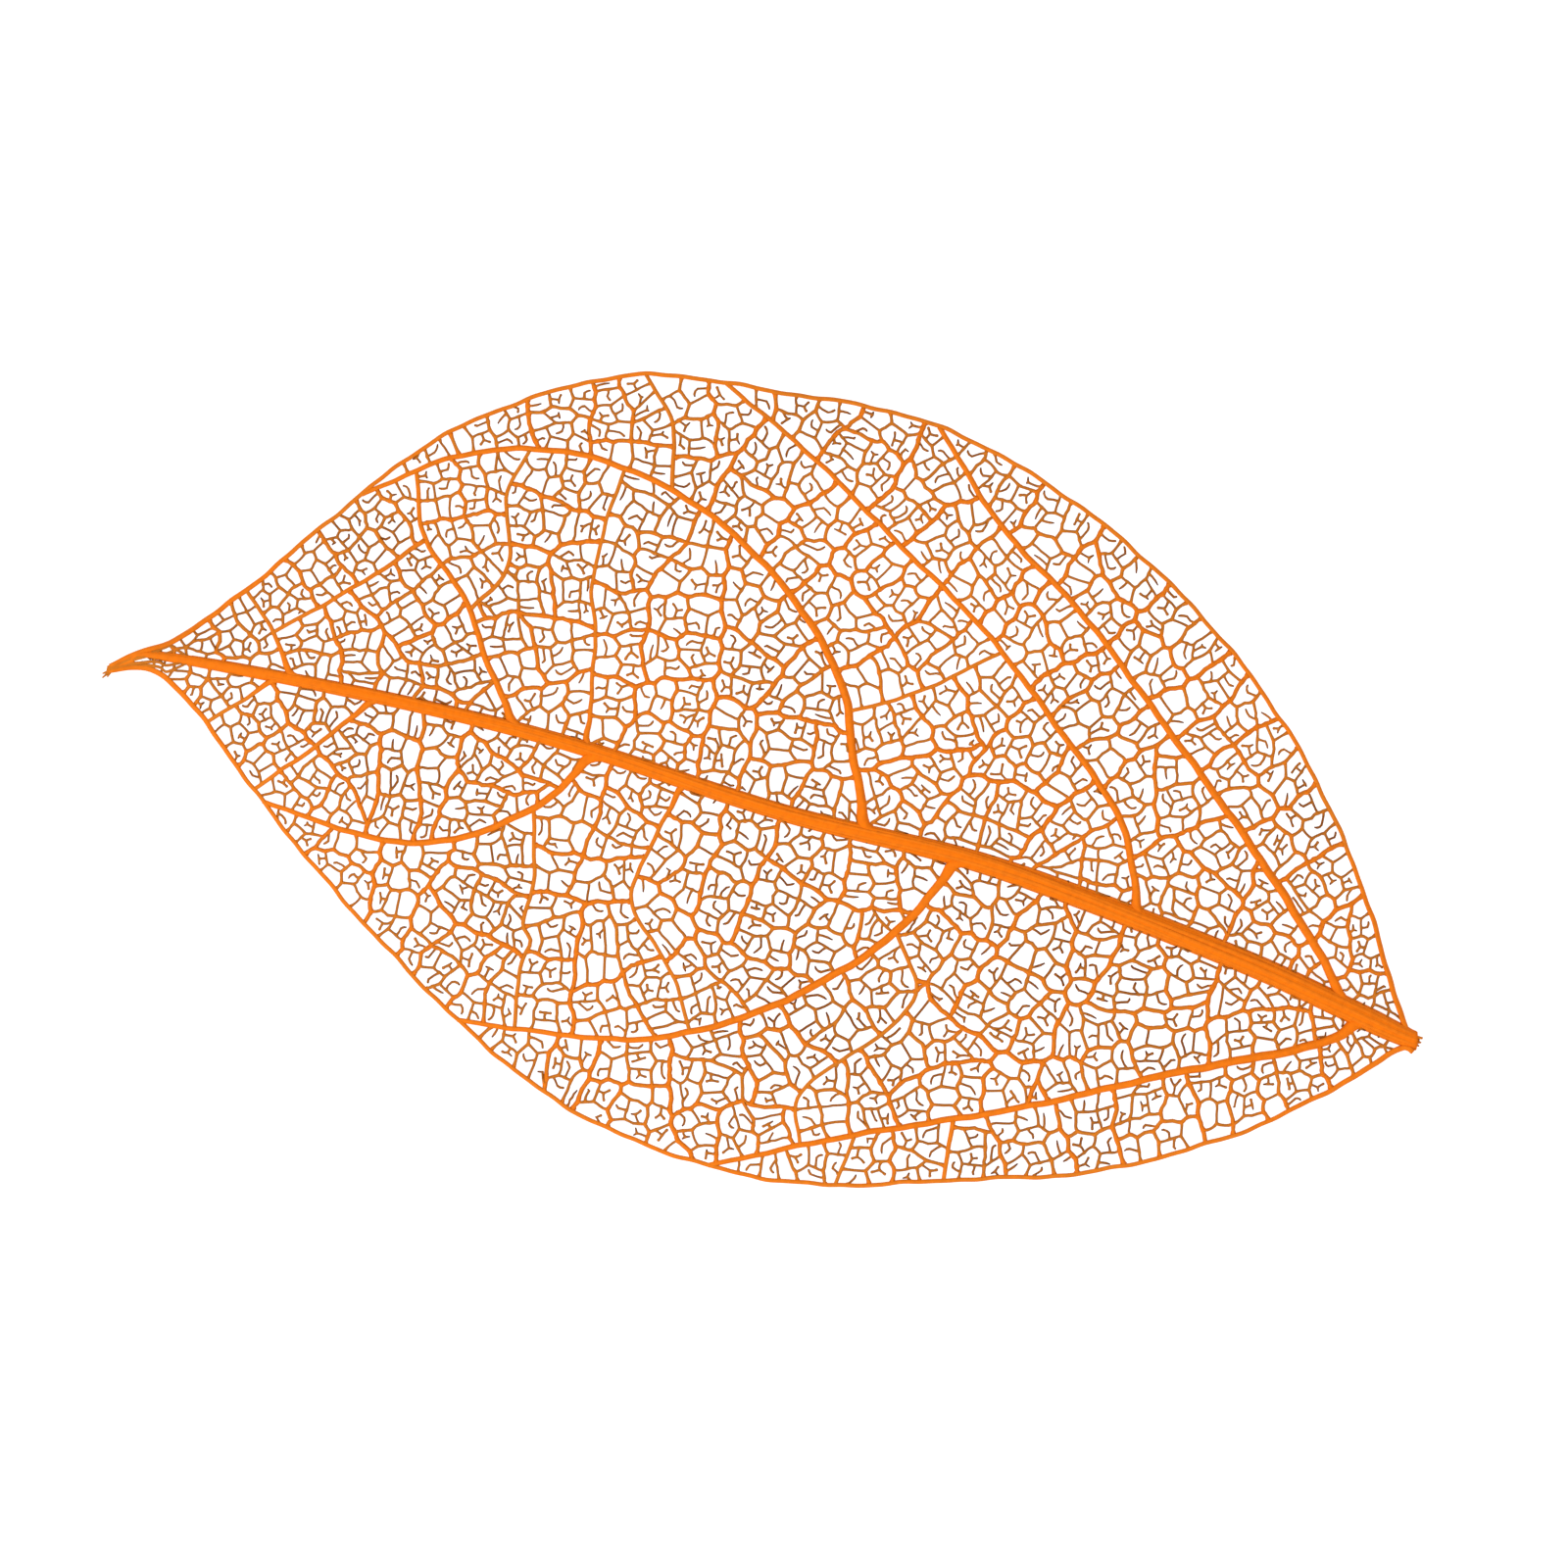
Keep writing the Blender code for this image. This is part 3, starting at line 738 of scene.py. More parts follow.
def hook(graph, start, way, reach, bend, spots):
    """Add a curved arm in three short pieces."""
    for part in range(3):
        start = add_arm(graph, start, turned(way, bend * part / 2), reach / 3, spots)
        if start is None:
            return


def grow_veinlet(graph, number):
    """Grow one free-ending veinlet in a mesh. Return whether there was room for it."""
    spots = graph.spots(number)
    centre = ring_centre(spots)
    room = wall_distance(centre, spots)
    walls = [(q - p).length for p, q in each_wall(spots)]
    if room < MESH_ROOM or rng.random() < EMPTY_SHARE or max(walls) < ROOT_WALL:
        return False
    n = rng.choices(range(len(walls)), [w ** 1.5 if w >= ROOT_WALL else 0 for w in walls])[0]
    root = graph.split(*graph.wall(number, n), rng.uniform(0.42, 0.58))
    inward = centre - graph.at[root]
    way = turned(inward.normalized(), rng.uniform(-12, 12))
    hand = rng.choice((-1, 1))
    kind = rng.random() if room > FORK_ROOM else 0.0
    if kind < HOOKS:
        hook(graph, root, way, inward.length * rng.uniform(0.9, 1.3), hand * 15, spots)
        return True
    stem = inward.length * (rng.uniform(0.75, 1.1) if kind < ELBOWS else rng.uniform(0.6, 0.9))
    elbow = add_arm(graph, root, way, stem, spots)
    if elbow is None:
        return False
    if kind < ELBOWS:
        start = hand * rng.uniform(25, 60)
        hook(graph, elbow, turned(way, start), room * 0.95, hand * rng.uniform(10, 60), spots)
        return True
    spread = rng.uniform(38, 66) if kind < FORKS else rng.uniform(70, 95)
    add_arm(graph, elbow, turned(way, spread), room * rng.uniform(0.7, 1.05), spots)
    add_arm(graph, elbow, turned(way, -spread - rng.uniform(-12, 12)),
            room * rng.uniform(0.7, 1.05), spots)
    return True


grown = sum(grow_veinlet(graph, number) for number in sorted(graph.loops))
print("veinlets", grown)

# %% [markdown]
# ## Shape in the air
# A dry leaf is never flat. The blade is a long shallow dome, its margin waves a little where it
# meets the table, and the drip tip lifts. One height function gives the middle surface for
# every piece, so that all the veins stay joined. The finished pieces are then moved together
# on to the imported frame's box.

# %% Height of the blade
ARCH, DROOP, EDGE_WAVE, TIP_CURL = 3.0, 0.93, 0.35, 1.1


def lift(x, y):
    """Return the height of the blade's middle surface at flat positions (arrays)."""
    x, y = np.asarray(x, float), np.asarray(y, float)
    along = np.clip(y / LENGTH, 0, 1)
    middle = x_at(MIDRIB, y)
    right, left = x_at(RIGHT_EDGE, y) - middle, middle - x_at(LEFT_EDGE, y)
    out = (x - middle) / np.where(x > middle, np.maximum(right, 1), np.maximum(left, 1))
    out = np.clip(out, -1.15, 1.15)
    arch = ARCH * np.sin(math.pi * along) ** 0.8
    wave = EDGE_WAVE * np.sin(0.21 * y + 1.3 * out) * out * out * np.sin(math.pi * along)
    curl = TIP_CURL * np.maximum(0, (y - 80) / 10) ** 2
    return arch * (1 - DROOP * out * out) + wave + curl


print("height at the middle and at the edge in mm",
      np.round(lift([4, 30], [45, 45]), 2))

# %% [markdown]
# ## Stations along a vein
# A vein is not a straight rod of one width. It spreads where it joins another, so that every
# joint has a small web, it is a little slimmer in the middle, it bends slightly, and a free end
# is swollen. Each vein of the graph is therefore cut at a few stations with their own widths.
# Where a thin vein meets a thick one, its end is sunk a little, so that it dives into the thick
# one instead of lying over it.

# %% Cut the veins at stations
STRAIGHT = 3.0
WEB = 0.34
SHORT_VEIN = 0.4
KINDS = {1: "free", 2: "plain"}
FREE_END = [(0, 0.55), (0.035, 1.02), (0.1, 1.22), (0.24, 1.0)]
SUNK_END = -0.07
STATION_ROOM = 0.1
RISE_NOISE, BEND_NOISE = 0.025, 0.045


def corner_reach(graph, fans):
    """Return how far the web of each joint reaches along each of its veins."""
    reach = {}
    for i, fan in fans.items():
        ways = [(graph.at[j] - graph.at[i]) for j in fan]
        angle = [math.atan2(w.y, w.x) for w in ways]
        for n, j in enumerate(fan):
            k = fan[(n + 1) % len(fan)]
            gap = (angle[(n + 1) % len(fan)] - angle[n]) % (2 * math.pi) or 2 * math.pi
            if gap < STRAIGHT:
                wide = vein_width(graph, i, j) + vein_width(graph, i, k)
                far = WEB * wide / math.tan(gap / 2)
                reach[(i, j)] = max(reach.get((i, j), 0), far)
                reach[(i, k)] = max(reach.get((i, k), 0), far)
    return reach


def vein_width(graph, a, b):
    """Return the width of the vein between two nodes."""
    return graph.veins[key(a, b)][1]


def sorted_fans(at, pairs):
    """Return each node's neighbours in order of direction."""
    fans = {}
    for a, b in pairs:
        fans.setdefault(a, []).append(b)
        fans.setdefault(b, []).append(a)
    for i, fan in fans.items():
        fan.sort(key=lambda j: math.atan2(at[j].y - at[i].y, at[j].x - at[i].x))
    return fans


def end_stations(wide, tube, reach, kind):
    """Return the stations near one end as (distance from it, width)."""
    if kind == "free":
        return [(distance, share * wide) for distance, share in FREE_END]
    if kind == "plain":
        return [(0.0, wide)]
    if tube:
        return [(0.0, 0.9 * wide), (0.75 * tube, 1.5 * wide), (tube + 0.1, 1.2 * wide),
                (tube + 0.32, wide)]
    return [(0.0, 1.18 * wide), (reach + 0.05, 1.08 * wide), (reach + 0.19, 0.98 * wide)]


def cut_vein(size, wide, first, second):
    """Return every station of a vein as (share of its length, width)."""
    if size < SHORT_VEIN:
        return [(0, first[0][1]), (1, second[0][1])]
    front = [(d / size, w) for d, w in first if d < 0.5 * size - STATION_ROOM]
    back = [(1 - d / size, w) for d, w in second if d < 0.5 * size - STATION_ROOM]
    return front + [(0.5, 0.95 * wide)] + back[::-1]


class FineGraph:
    """The stations as nodes, with a width at both ends of every stretch between them."""

    def __init__(self):
        self.at = []
        self.rise = []
        self.wide = {}

    def add(self, spot, rise):
        """Add a station. Return its number."""
        self.at.append(Vector(spot))
        self.rise.append(rise)
        return len(self.at) - 1


def fine_graph(graph, veins):
    """Return the fine graph of the given veins."""
    fine = FineGraph()
    fans = sorted_fans(graph.at, veins)
    reach = corner_reach(graph, fans)
    tubes = {i: max((guide_width(own, graph.at[i]) for own in owners), default=0) / 2
             for i, owners in graph.owners().items() if i in fans}
    number = {i: fine.add(graph.at[i], SUNK_END if tubes[i] else rng.gauss(0, RISE_NOISE))
              for i in sorted(fans)}
    for a, b in veins:
        own, wide = graph.veins[(a, b)]
        start, end = graph.at[a], graph.at[b]
        size = (end - start).length
        side = Vector((start.y - end.y, end.x - start.x)) * rng.gauss(0, BEND_NOISE)
        kinds = ["joint" if tubes[i] else KINDS.get(len(fans[i]), "joint") for i in (a, b)]
        ends = [end_stations(wide, tubes[i], reach.get((i, j), 0), kind)
                for i, j, kind in ((a, b, kinds[0]), (b, a, kinds[1]))]
        cuts = cut_vein(size, wide, *ends)
        last, last_wide = number[a], cuts[0][1]
        for share, w in cuts[1:]:
            spot = start.lerp(end, share) + side * 4 * share * (1 - share)
            rise = fine.rise[number[a]] * (1 - share) + fine.rise[number[b]] * share
            node = number[b] if share == 1 else fine.add(spot, rise)
            fine.wide[(last, node)] = (last_wide, w)
            last, last_wide = node, w
    return fine


def midrib_x(y):
    """Return where the midrib is at a height up the leaf."""
    return float(x_at(GUIDE_LINES[1], y))


net_veins = {"left": [], "right": []}
for (a, b), (own, wide) in sorted(graph.veins.items()):
    if own < 0:
        middle = (graph.at[a] + graph.at[b]) / 2
        net_veins["right" if middle.x > midrib_x(middle.y) else "left"].append((a, b))
fine_nets = {side: fine_graph(graph, veins) for side, veins in net_veins.items()}
for side, fine in fine_nets.items():
    print(side, "net: stations", len(fine.at), "stretches", len(fine.wide))

# %% [markdown]
# ## A skin for the net
# Blender's Skin modifier could wrap such a graph, but on ten thousand joints it is slow and
# it folds. A small cage of its own is safer. At each joint one corner point sits between every
# two neighbouring veins, where their sides meet, and one ridge point sits above and one below.
# Every stretch then gets four long faces between the points at its two ends. The corners are
# shared, so the whole net closes into one skin with no extra faces at the joints.

# %% The cage builder
FLATNESS = 0.85
ALONG_LIMIT, WIDTH_LIMIT = 0.92, 0.26
PARALLEL = 0.3


def side_corner(first, second, wide_first, wide_second, limit):
    """Return where the facing sides of two veins meet, seen from their shared node."""
    n1 = Vector((-first.y, first.x))
    n2 = Vector((second.y, -second.x))
    cross = n1.x * n2.y - n1.y * n2.x
    if abs(cross) > PARALLEL:
        a, b = wide_first / 2, wide_second / 2
        spot = Vector((a * n2.y - b * n1.y, b * n1.x - a * n2.x)) / cross
    else:
        spot = (n1 + n2).normalized() * (wide_first + wide_second) / 4
    return spot if spot.length < limit else spot.normalized() * limit


class Cage:
    """Points and faces of the skin around a fine graph."""

    def __init__(self, fine):
        self.fine = fine
        self.points = []
        self.girth = []
        self.faces = []
        self.side = {}
        self.ridge = {}
        self.fans = sorted_fans(fine.at, fine.wide)
        for i in sorted(self.fans):
            self.place_node(i)
        for a, b in fine.wide:
            self.skin_stretch(a, b)

    def wide(self, a, b):
        """Return the width at the first end of the stretch between two stations."""
        ends = self.fine.wide.get((a, b))
        return ends[0] if ends else self.fine.wide[(b, a)][1]

    def add(self, spot, rise, girth):
        """Add a point of the skin. Return its number."""
        self.points.append((spot.x, spot.y, rise))
        self.girth.append(girth)
        return len(self.points) - 1

    def place_node(self, i):
        """Place the corner points between neighbouring veins and the ridge above and below."""
        at, fan, rise = self.fine.at[i], self.fans[i], self.fine.rise[i]
        ways = [self.fine.at[j] - at for j in fan]
        sizes = [w.length for w in ways]
        ways = [w / s for w, s in zip(ways, sizes)]
        wides = [self.wide(i, j) for j in fan]
        girth = max(wides)
        half = girth * FLATNESS / 2
        self.ridge[i] = (self.add(at, rise + half, girth), self.add(at, rise - half, girth))
        if len(fan) == 1:
            across = Vector((-ways[0].y, ways[0].x)) * wides[0] / 2
            self.side[(i, fan[0])] = [self.add(at - across, rise, girth),
                                      self.add(at + across, rise, girth)]
            right, left = self.side[(i, fan[0])]
            top, bottom = self.ridge[i]
            self.faces += [(right, top, left), (left, bottom, right)]
            return
        for n, j in enumerate(fan):
            m = (n + 1) % len(fan)
            limit = max(ALONG_LIMIT * min(sizes[n], sizes[m]), WIDTH_LIMIT * (wides[n] + wides[m]))
            spot = at + side_corner(ways[n], ways[m], wides[n], wides[m], limit)
            shared = self.add(spot, rise, girth)
            self.side.setdefault((i, j), [None, None])[1] = shared
            self.side.setdefault((i, fan[m]), [None, None])[0] = shared

    def skin_stretch(self, a, b):
        """Close the four long sides of one stretch."""
        right_a, left_a = self.side[(a, b)]
        left_b, right_b = self.side[(b, a)]
        top_a, bottom_a = self.ridge[a]
        top_b, bottom_b = self.ridge[b]
        self.faces += [(left_a, top_a, top_b, left_b), (top_a, right_a, right_b, top_b),
                       (right_a, bottom_a, bottom_b, right_b),
                       (bottom_a, left_a, left_b, bottom_b)]


cages = {side: Cage(fine) for side, fine in fine_nets.items()}
for side, cage in cages.items():
    print(side, "net: points", len(cage.points), "faces", len(cage.faces))

# %% [markdown]
# ## Sweeping the main veins
# The midrib, the side veins and the margin are thick enough to show a round section with the
# grain of the fibre strands that run along them. Each is swept: rings of points follow the
# line, with a lobed outline whose lobes twist slowly, and the rings are joined into a closed
# tube. As on the real leaf they stand out more below the blade than above it.

# %% Sweep helper
TWIST, FINE_TWIST = 0.22, 0.35
TALL = 0.9


class Tube:
    """Points and faces of swept strands, with the girth at every point."""

    def __init__(self):
        self.points = []
        self.girth = []
        self.faces = []

    def sweep(self, line, widths, sides, lobes=3, depth=0.06, sink=0.0, rise=0.0, tone=None):
        """Add one closed tube along a flat line, with one width or one for each of its points.

        The tube is sunk by a share of its width and raised by a given height. Its tone stands
        in for the girth where the colour of another width is wanted.
        """
        phase = rng.uniform(0, 6)
        start = len(self.points)
        left = sideways(line)
        run = travelled(line)
        turn_round = np.arange(sides) * 2 * math.pi / sides
        widths, rises = (np.broadcast_to(v, len(line)) for v in (widths, rise))
        for n, (spot, side, wide) in enumerate(zip(line, left, widths)):
            grain = 1 + depth * np.sin(lobes * turn_round + phase + TWIST * run[n])
            grain += 0.5 * depth * np.sin((2 * lobes + 1) * turn_round + 2 * phase
                                          - FINE_TWIST * run[n])
            across = np.cos(turn_round) * grain * wide / 2
            up = np.sin(turn_round) * grain * wide / 2 * TALL - sink * wide + rises[n]
            for a, u in zip(across, up):
                self.points.append((spot[0] + side[0] * a, spot[1] + side[1] * a, u))
                self.girth.append(tone or wide)
        self.close(start, len(line), sides)

    def close(self, start, rings, sides):
        """Join the rings that begin at a point number, and cap both ends."""
        for n in range(rings - 1):
            a, b = start + n * sides, start + (n + 1) * sides
            for k in range(sides):
                m = (k + 1) % sides
                self.faces.append((a + k, a + m, b + m, b + k))
        self.faces.append(tuple(start + k for k in range(sides))[::-1])
        last = start + (rings - 1) * sides
        self.faces.append(tuple(last + k for k in range(sides)))


def wander(line, amount, reach):
    """Return the line with a slight sideways wander of a given reach."""
    run = travelled(line)
    shift = np.zeros(len(line))
    for part in (1.0, 0.53, 0.31):
        shift += part * np.sin(2 * math.pi * run / (reach * part) + rng.uniform(0, 6))
    fade = np.clip(np.minimum(run, run[-1] - run) / 2, 0, 1)
    return line + (shift * amount * fade)[:, None] * sideways(line)


print("sweep ready")

# %% [markdown]
# ### Midrib and stalk
# The midrib runs from the cut stalk to the tip. It is a bundle: a core with a ring of strands
# laid round it, each with its own slow wander, so that shallow grooves run all along. The stalk
# was cut off right below the blade, a little aslant, and its strands end raggedly there.

# %% Midrib
STALK_X, STALK_END = 0.38, -0.35
CUT_SLANT = 0.3
MIDRIB_SINK = 0.16
STRANDS = 13
BUNDLE_TONE = 0.6
WIDTH_STEPS = [(STALK_END, 1.3)] + MIDRIB_WIDTHS + [(89.0, 0.36), (89.6, 0.26)]
midrib_line = smooth_line([(STALK_X, STALK_END)] + MIDRIB[1:] + [(1.35, 88.4), (0.5, 89.5)], 0.3)
midrib_widths = np.interp(midrib_line[:, 1], *zip(*WIDTH_STEPS))
midrib = Tube()
midrib.sweep(midrib_line, midrib_widths * 0.9, 28, lobes=5, depth=0.03, sink=MIDRIB_SINK)
midrib_run = travelled(midrib_line)
midrib_left = sideways(midrib_line)
for strand in range(STRANDS):
    slow = rng.uniform(-0.012, 0.012)
    wave = 0.16 * np.sin(midrib_run / rng.uniform(4, 8) + rng.uniform(0, 6))
    angle = 2 * math.pi * (strand + 0.3 * rng.random()) / STRANDS + slow * midrib_run + wave
    thick = midrib_widths * rng.uniform(0.2, 0.27)
    out = midrib_widths * 0.5 - thick * 0.46
    side = midrib_left * (out * np.cos(angle))[:, None]
    keep = slice(0, int(len(midrib_line) * rng.uniform(0.8, 0.99)))
    thick[:4] *= np.linspace(rng.uniform(0.3, 0.9), 1, 4)
    rise = out * np.sin(angle) * TALL - MIDRIB_SINK * midrib_widths
    midrib.sweep((midrib_line + side)[keep], thick[keep], 8, depth=0.02, rise=rise[keep],
                 tone=BUNDLE_TONE)
midrib.points = [(x, y + CUT_SLANT * (x - STALK_X) * max(0, 1 - (y - STALK_END)), z)
                 for x, y, z in midrib.points]
print("midrib rings", len(midrib_line), "strands", STRANDS)

# %% [markdown]
# ### Side veins
# A side vein does not butt on to the midrib. Its strands come up inside the midrib first, so it
# starts a little lower down and spreads as it leaves. That gives the webbed forks.

# %% Side veins
MIDRIB_REACH = 0.6
FOOT_BACK = 2.6
FORK_FLARE, FORK_REACH = 0.55, 1.5
side_veins = Tube()
for name, line, (wide_start, wide_end) in zip(GUIDE_NAMES[2:], GUIDE_LINES[2:], GUIDE_WIDTHS[2:]):
    on_midrib = abs(line[0][0] - midrib_x(line[0][1])) < MIDRIB_REACH
    if on_midrib:
        foot_y = line[0][1] - FOOT_BACK
        foot = np.array([midrib_x(foot_y), foot_y])
        line = smooth_line([foot, line[0] * 0.75 + line[3] * 0.25] + list(line[5::4]) + [line[-1]])
    line = wander(line, 0.035, 5.0)
    run = travelled(line)
    widths = wide_start + (wide_end - wide_start) * (run / run[-1]) ** 0.7
    if on_midrib:
        widths *= 1 + FORK_FLARE * np.exp(-((run - FOOT_BACK) / FORK_REACH) ** 2)
    side_veins.sweep(line, widths, 16, lobes=4, depth=0.05, sink=0.14)
print("side vein faces", len(side_veins.faces))

# %% [markdown]
# ### Margin
# A thin vein binds the edge all the way round. Near the tip both sides run together with the
# midrib.

# %% Margin
margin = Tube()
for edge, foot, top in ((RIGHT_EDGE, (0.85, -0.2), [(1.75, 88.4), (0.7, 89.6)]),
                        (LEFT_EDGE, (-0.38, -0.3), [(0.95, 88.2), (0.35, 89.6)])):
    line = wander(smooth_line([foot] + edge + top, 0.35), 0.05, 6.5)
    widths = np.interp(line[:, 1], [0, 8, 78, 86, 90], [0.42, MARGIN_WIDTH, MARGIN_WIDTH, 0.4, 0.3])
    margin.sweep(line, widths, 14, depth=0.05, sink=0.05)
print("margin faces", len(margin.faces))

# %% [markdown]
# ### Drip tip
# In the drawn-out tip the last veins lie side by side with long slits between them and then
# fuse. A few strands leave the midrib and follow the narrowing shape, tied by short slanting
# cross veins, and end in broken fibres.

# %% Drip tip
def tip_spot(share, y):
    """Return a spot in the drip tip: share 0 is its left side and 1 its right."""
    left = float(np.interp(y, [82, 84.6, 86.8, 88.2, 90], [-1.4, 0.3, 1.2, 0.95, 0.1]))
    right = float(np.interp(y, [82, 84.2, 86.6, 88.4, 90], [8.6, 5.6, 3.0, 1.75, 0.4]))
    return np.array([left + (right - left) * share, y])


drip_tip = Tube()
for share in (0.2, 0.36, 0.66, 0.82):
    heights = np.linspace(86.0 - rng.uniform(0, 0.6), 89.7, 9)
    root_y = heights[0] - 1.3
    root = [np.array([midrib_x(root_y), root_y])]
    line = smooth_line(root + [tip_spot(share + rng.uniform(-0.04, 0.04), y) for y in heights], 0.2)
    drip_tip.sweep(line, np.linspace(0.17, 0.26, len(line)), 10)
for y in np.arange(86.1, 89.2, 0.34):
    share = rng.uniform(0.02, 0.62)
    ends = [tip_spot(share, y), tip_spot(share + rng.uniform(0.2, 0.34), y + rng.uniform(0.2, 0.6))]
    drip_tip.sweep(even_steps(np.array(ends), 0.12), 0.14, 8)
drip_tip.sweep(even_steps(np.array([[3.0, 86.6], [2.2, 86.9], [1.2, 86.8]]), 0.2), 0.2, 10)
for turn_by, size in ((8, 0.55), (-12, 0.4), (28, 0.3)):
    way = turned(Vector((-0.75, 0.66)), turn_by)
    line = np.array([[0.45, 89.45] + np.array(way) * d for d in np.linspace(0, size + 0.2, 6)])
    drip_tip.sweep(line, np.linspace(0.26, 0.09, 6), 8, tone=0.22)
print("drip tip faces", len(drip_tip.faces))

# %% [markdown]
# ### Broken fibres at the cut
# The stalk was pulled and cut, so short ends of strands stick out of it.

# %% Stalk fibres
stalk_fibres = Tube()
for n in range(STRANDS):
    angle = rng.uniform(0, 2 * math.pi)
    off = rng.uniform(0.1, 0.52)
    start = np.array([STALK_X + off * math.cos(angle), STALK_END + 0.5])
    size = rng.uniform(0.55, 0.85)
    line = np.array([start + np.array([0.15 * off * math.cos(angle) * d, -d])
                     for d in np.linspace(0, size, 7)])
    stalk_fibres.sweep(line, np.linspace(0.3, 0.1, 7) * rng.uniform(0.6, 1.1), 8,
                       rise=0.8 * off * math.sin(angle) - 0.2, tone=0.25)
print("stalk fibre faces", len(stalk_fibres.faces))

# %% [markdown]
# ## From plans to objects
# All the plans are flat so far. Every point is lifted on to the domed surface, turned into
# metres, and shifted so that the midrib, margin and nets together sit in the middle of the
# imported frame's box with their lowest point on its base. The girth of the vein at every point
# is stored on the mesh, because the colour follows it: thin fibres are darker, partly by their
# dye and partly by painted shade. A flat top-down UV map named OFBake lets the colours be baked.

# %% Build the objects
def lifted(plan):
    """Return the plan's points as an array on the domed surface, in millimetres."""
    cloud = np.array(plan.points)
    cloud[:, 2] += lift(cloud[:, 0], cloud[:, 1])
    return cloud


plans = {"net_left": cages["left"], "net_right": cages["right"], "midrib": midrib,
         "side_veins": side_veins, "margin_vein": margin, "drip_tip": drip_tip,
         "stalk_fibres": stalk_fibres}
clouds = {name: lifted(plan) for name, plan in plans.items()}
everything = np.vstack(list(clouds.values()))
middle = (everything.min(0) + everything.max(0)) / 2
shift = np.array([box_centre.x, box_centre.y, low_corner.z]) \
    - np.array([middle[0], middle[1], everything[:, 2].min()]) * 0.001


def into_scene(name, data):
    """Put a new object with the given data in the scene. Return it."""
    made = bpy.data.objects.new(name, data)
    bpy.context.scene.collection.objects.link(made)
    return made


def add_flat_uv(mesh):
    """Give the mesh a top-down UV map that fills the picture."""
    spots = np.empty(len(mesh.vertices) * 3)
    mesh.vertices.foreach_get("co", spots)
    spots = spots.reshape(-1, 3)[:, :2]
    low, high = spots.min(0), spots.max(0)
    flat = 0.01 + 0.98 * (spots - low) / (high - low).max()
    corner_vertex = np.empty(len(mesh.loops), int)
    mesh.loops.foreach_get("vertex_index", corner_vertex)
    layer = mesh.uv_layers.new(name="OFBake")
    layer.data.foreach_set("uv", flat[corner_vertex].ravel())


def new_piece(name, plan, cloud):
    """Build one piece of the leaf from its plan."""
    mesh = bpy.data.meshes.new(name)
    mesh.from_pydata([tuple(p) for p in cloud * 0.001 + shift], [], plan.faces)
    work = bmesh.new()
    work.from_mesh(mesh)
    bmesh.ops.recalc_face_normals(work, faces=work.faces[:])
    work.to_mesh(mesh)
    work.free()
    mesh.attributes.new("girth", "FLOAT", "POINT").data.foreach_set("value", plan.girth)
    mesh.polygons.foreach_set("use_smooth", [True] * len(mesh.polygons))
    add_flat_uv(mesh)
    piece = into_scene(name, mesh)
    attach(piece, "root")
    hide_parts(NODE)
    return piece


pieces = {name: new_piece(name, plan, clouds[name]) for name, plan in plans.items()}
for name, piece in pieces.items():
    print(name, "faces", len(piece.data.polygons))

# %% [markdown]
# ## The dyed fibre, and painted shade on the thin veins
# Bare vein fibre is pale and takes dye unevenly. The thick veins hold the most dye and look a
# clear bright orange; the thin ones are painted browner, redder and darker, partly their own
# colour and partly painted shade, and the free ends darkest. The girth stored on the mesh picks
# the colour, a slow noise lets the bath's unevenness show, and a fine noise gives the grain, the
# roughness and a low bump.

# %% Material helpers
def set_inputs(owner, values):
    """Set a node's inputs, each given by its name or its place."""
    for place, value in values.items():
        owner.inputs[place].default_value = value


def new_material(name, inputs):
    """Return a new material whose shader has the given inputs."""
    material = bpy.data.materials.new(name)
    material.use_nodes = True
    set_inputs(material.node_tree.nodes["Principled BSDF"], inputs)
    return material


def node(tree, kind, inputs=None, **properties):
    """Add a node to a material and set its properties and inputs."""
    new = tree.nodes.new(kind)
    for name, value in properties.items():
        setattr(new, name, value)
    set_inputs(new, inputs or {})
    return new


def join(tree, *ends):
    """Link outputs to inputs, given in pairs."""
    for source, sink in ends:
        tree.links.new(source, sink)


def colour_ramp(tree, stops):
    """Add a colour ramp with the given stops."""
    ramp = node(tree, "ShaderNodeValToRGB")
    elements = ramp.color_ramp.elements
    for place in (0, -1):
        elements[place].position = stops[place][0]
        elements[place].color = (*stops[place][1], 1)
    for position, colour in stops[1:-1]:
        elements.new(position).color = (*colour, 1)
    return ramp


print("material helpers ready")

# %% Dyed fibre, with painted shade on the thin veins
# Colour at each girth: the darker, browner stops for thin veins and free ends are partly their own
# colour and partly painted shade.
DYE_AND_SHADE = [(0.12, (0.14, 0.034, 0.003)), (0.18, (0.38, 0.118, 0.012)), (0.25, (0.54, 0.158, 0.011)),
       (0.33, (0.68, 0.158, 0.005)), (0.9, (0.75, 0.15, 0.0005))]
UNEVENNESS = 0.16


def dye_and_shade_colour(tree, where):
    """Return the ramp that gives the colour at each girth, the dye with painted shade on thin
    veins, made slightly uneven.
    """
    girth = node(tree, "ShaderNodeAttribute", attribute_name="girth")
    patches = node(tree, "ShaderNodeTexNoise", {"Scale": 90, "Detail": 4})
    uneven = node(tree, "ShaderNodeMath", {1: UNEVENNESS, 2: -UNEVENNESS / 2},
                  operation="MULTIPLY_ADD")
    mixed = node(tree, "ShaderNodeMath", operation="ADD")
    ramp = colour_ramp(tree, DYE_AND_SHADE)
    join(tree, (where.outputs["Object"], patches.inputs["Vector"]),
         (patches.outputs["Fac"], uneven.inputs[0]),
         (girth.outputs["Fac"], mixed.inputs[0]), (uneven.outputs[0], mixed.inputs[1]),
         (mixed.outputs[0], ramp.inputs["Fac"]))
    return ramp


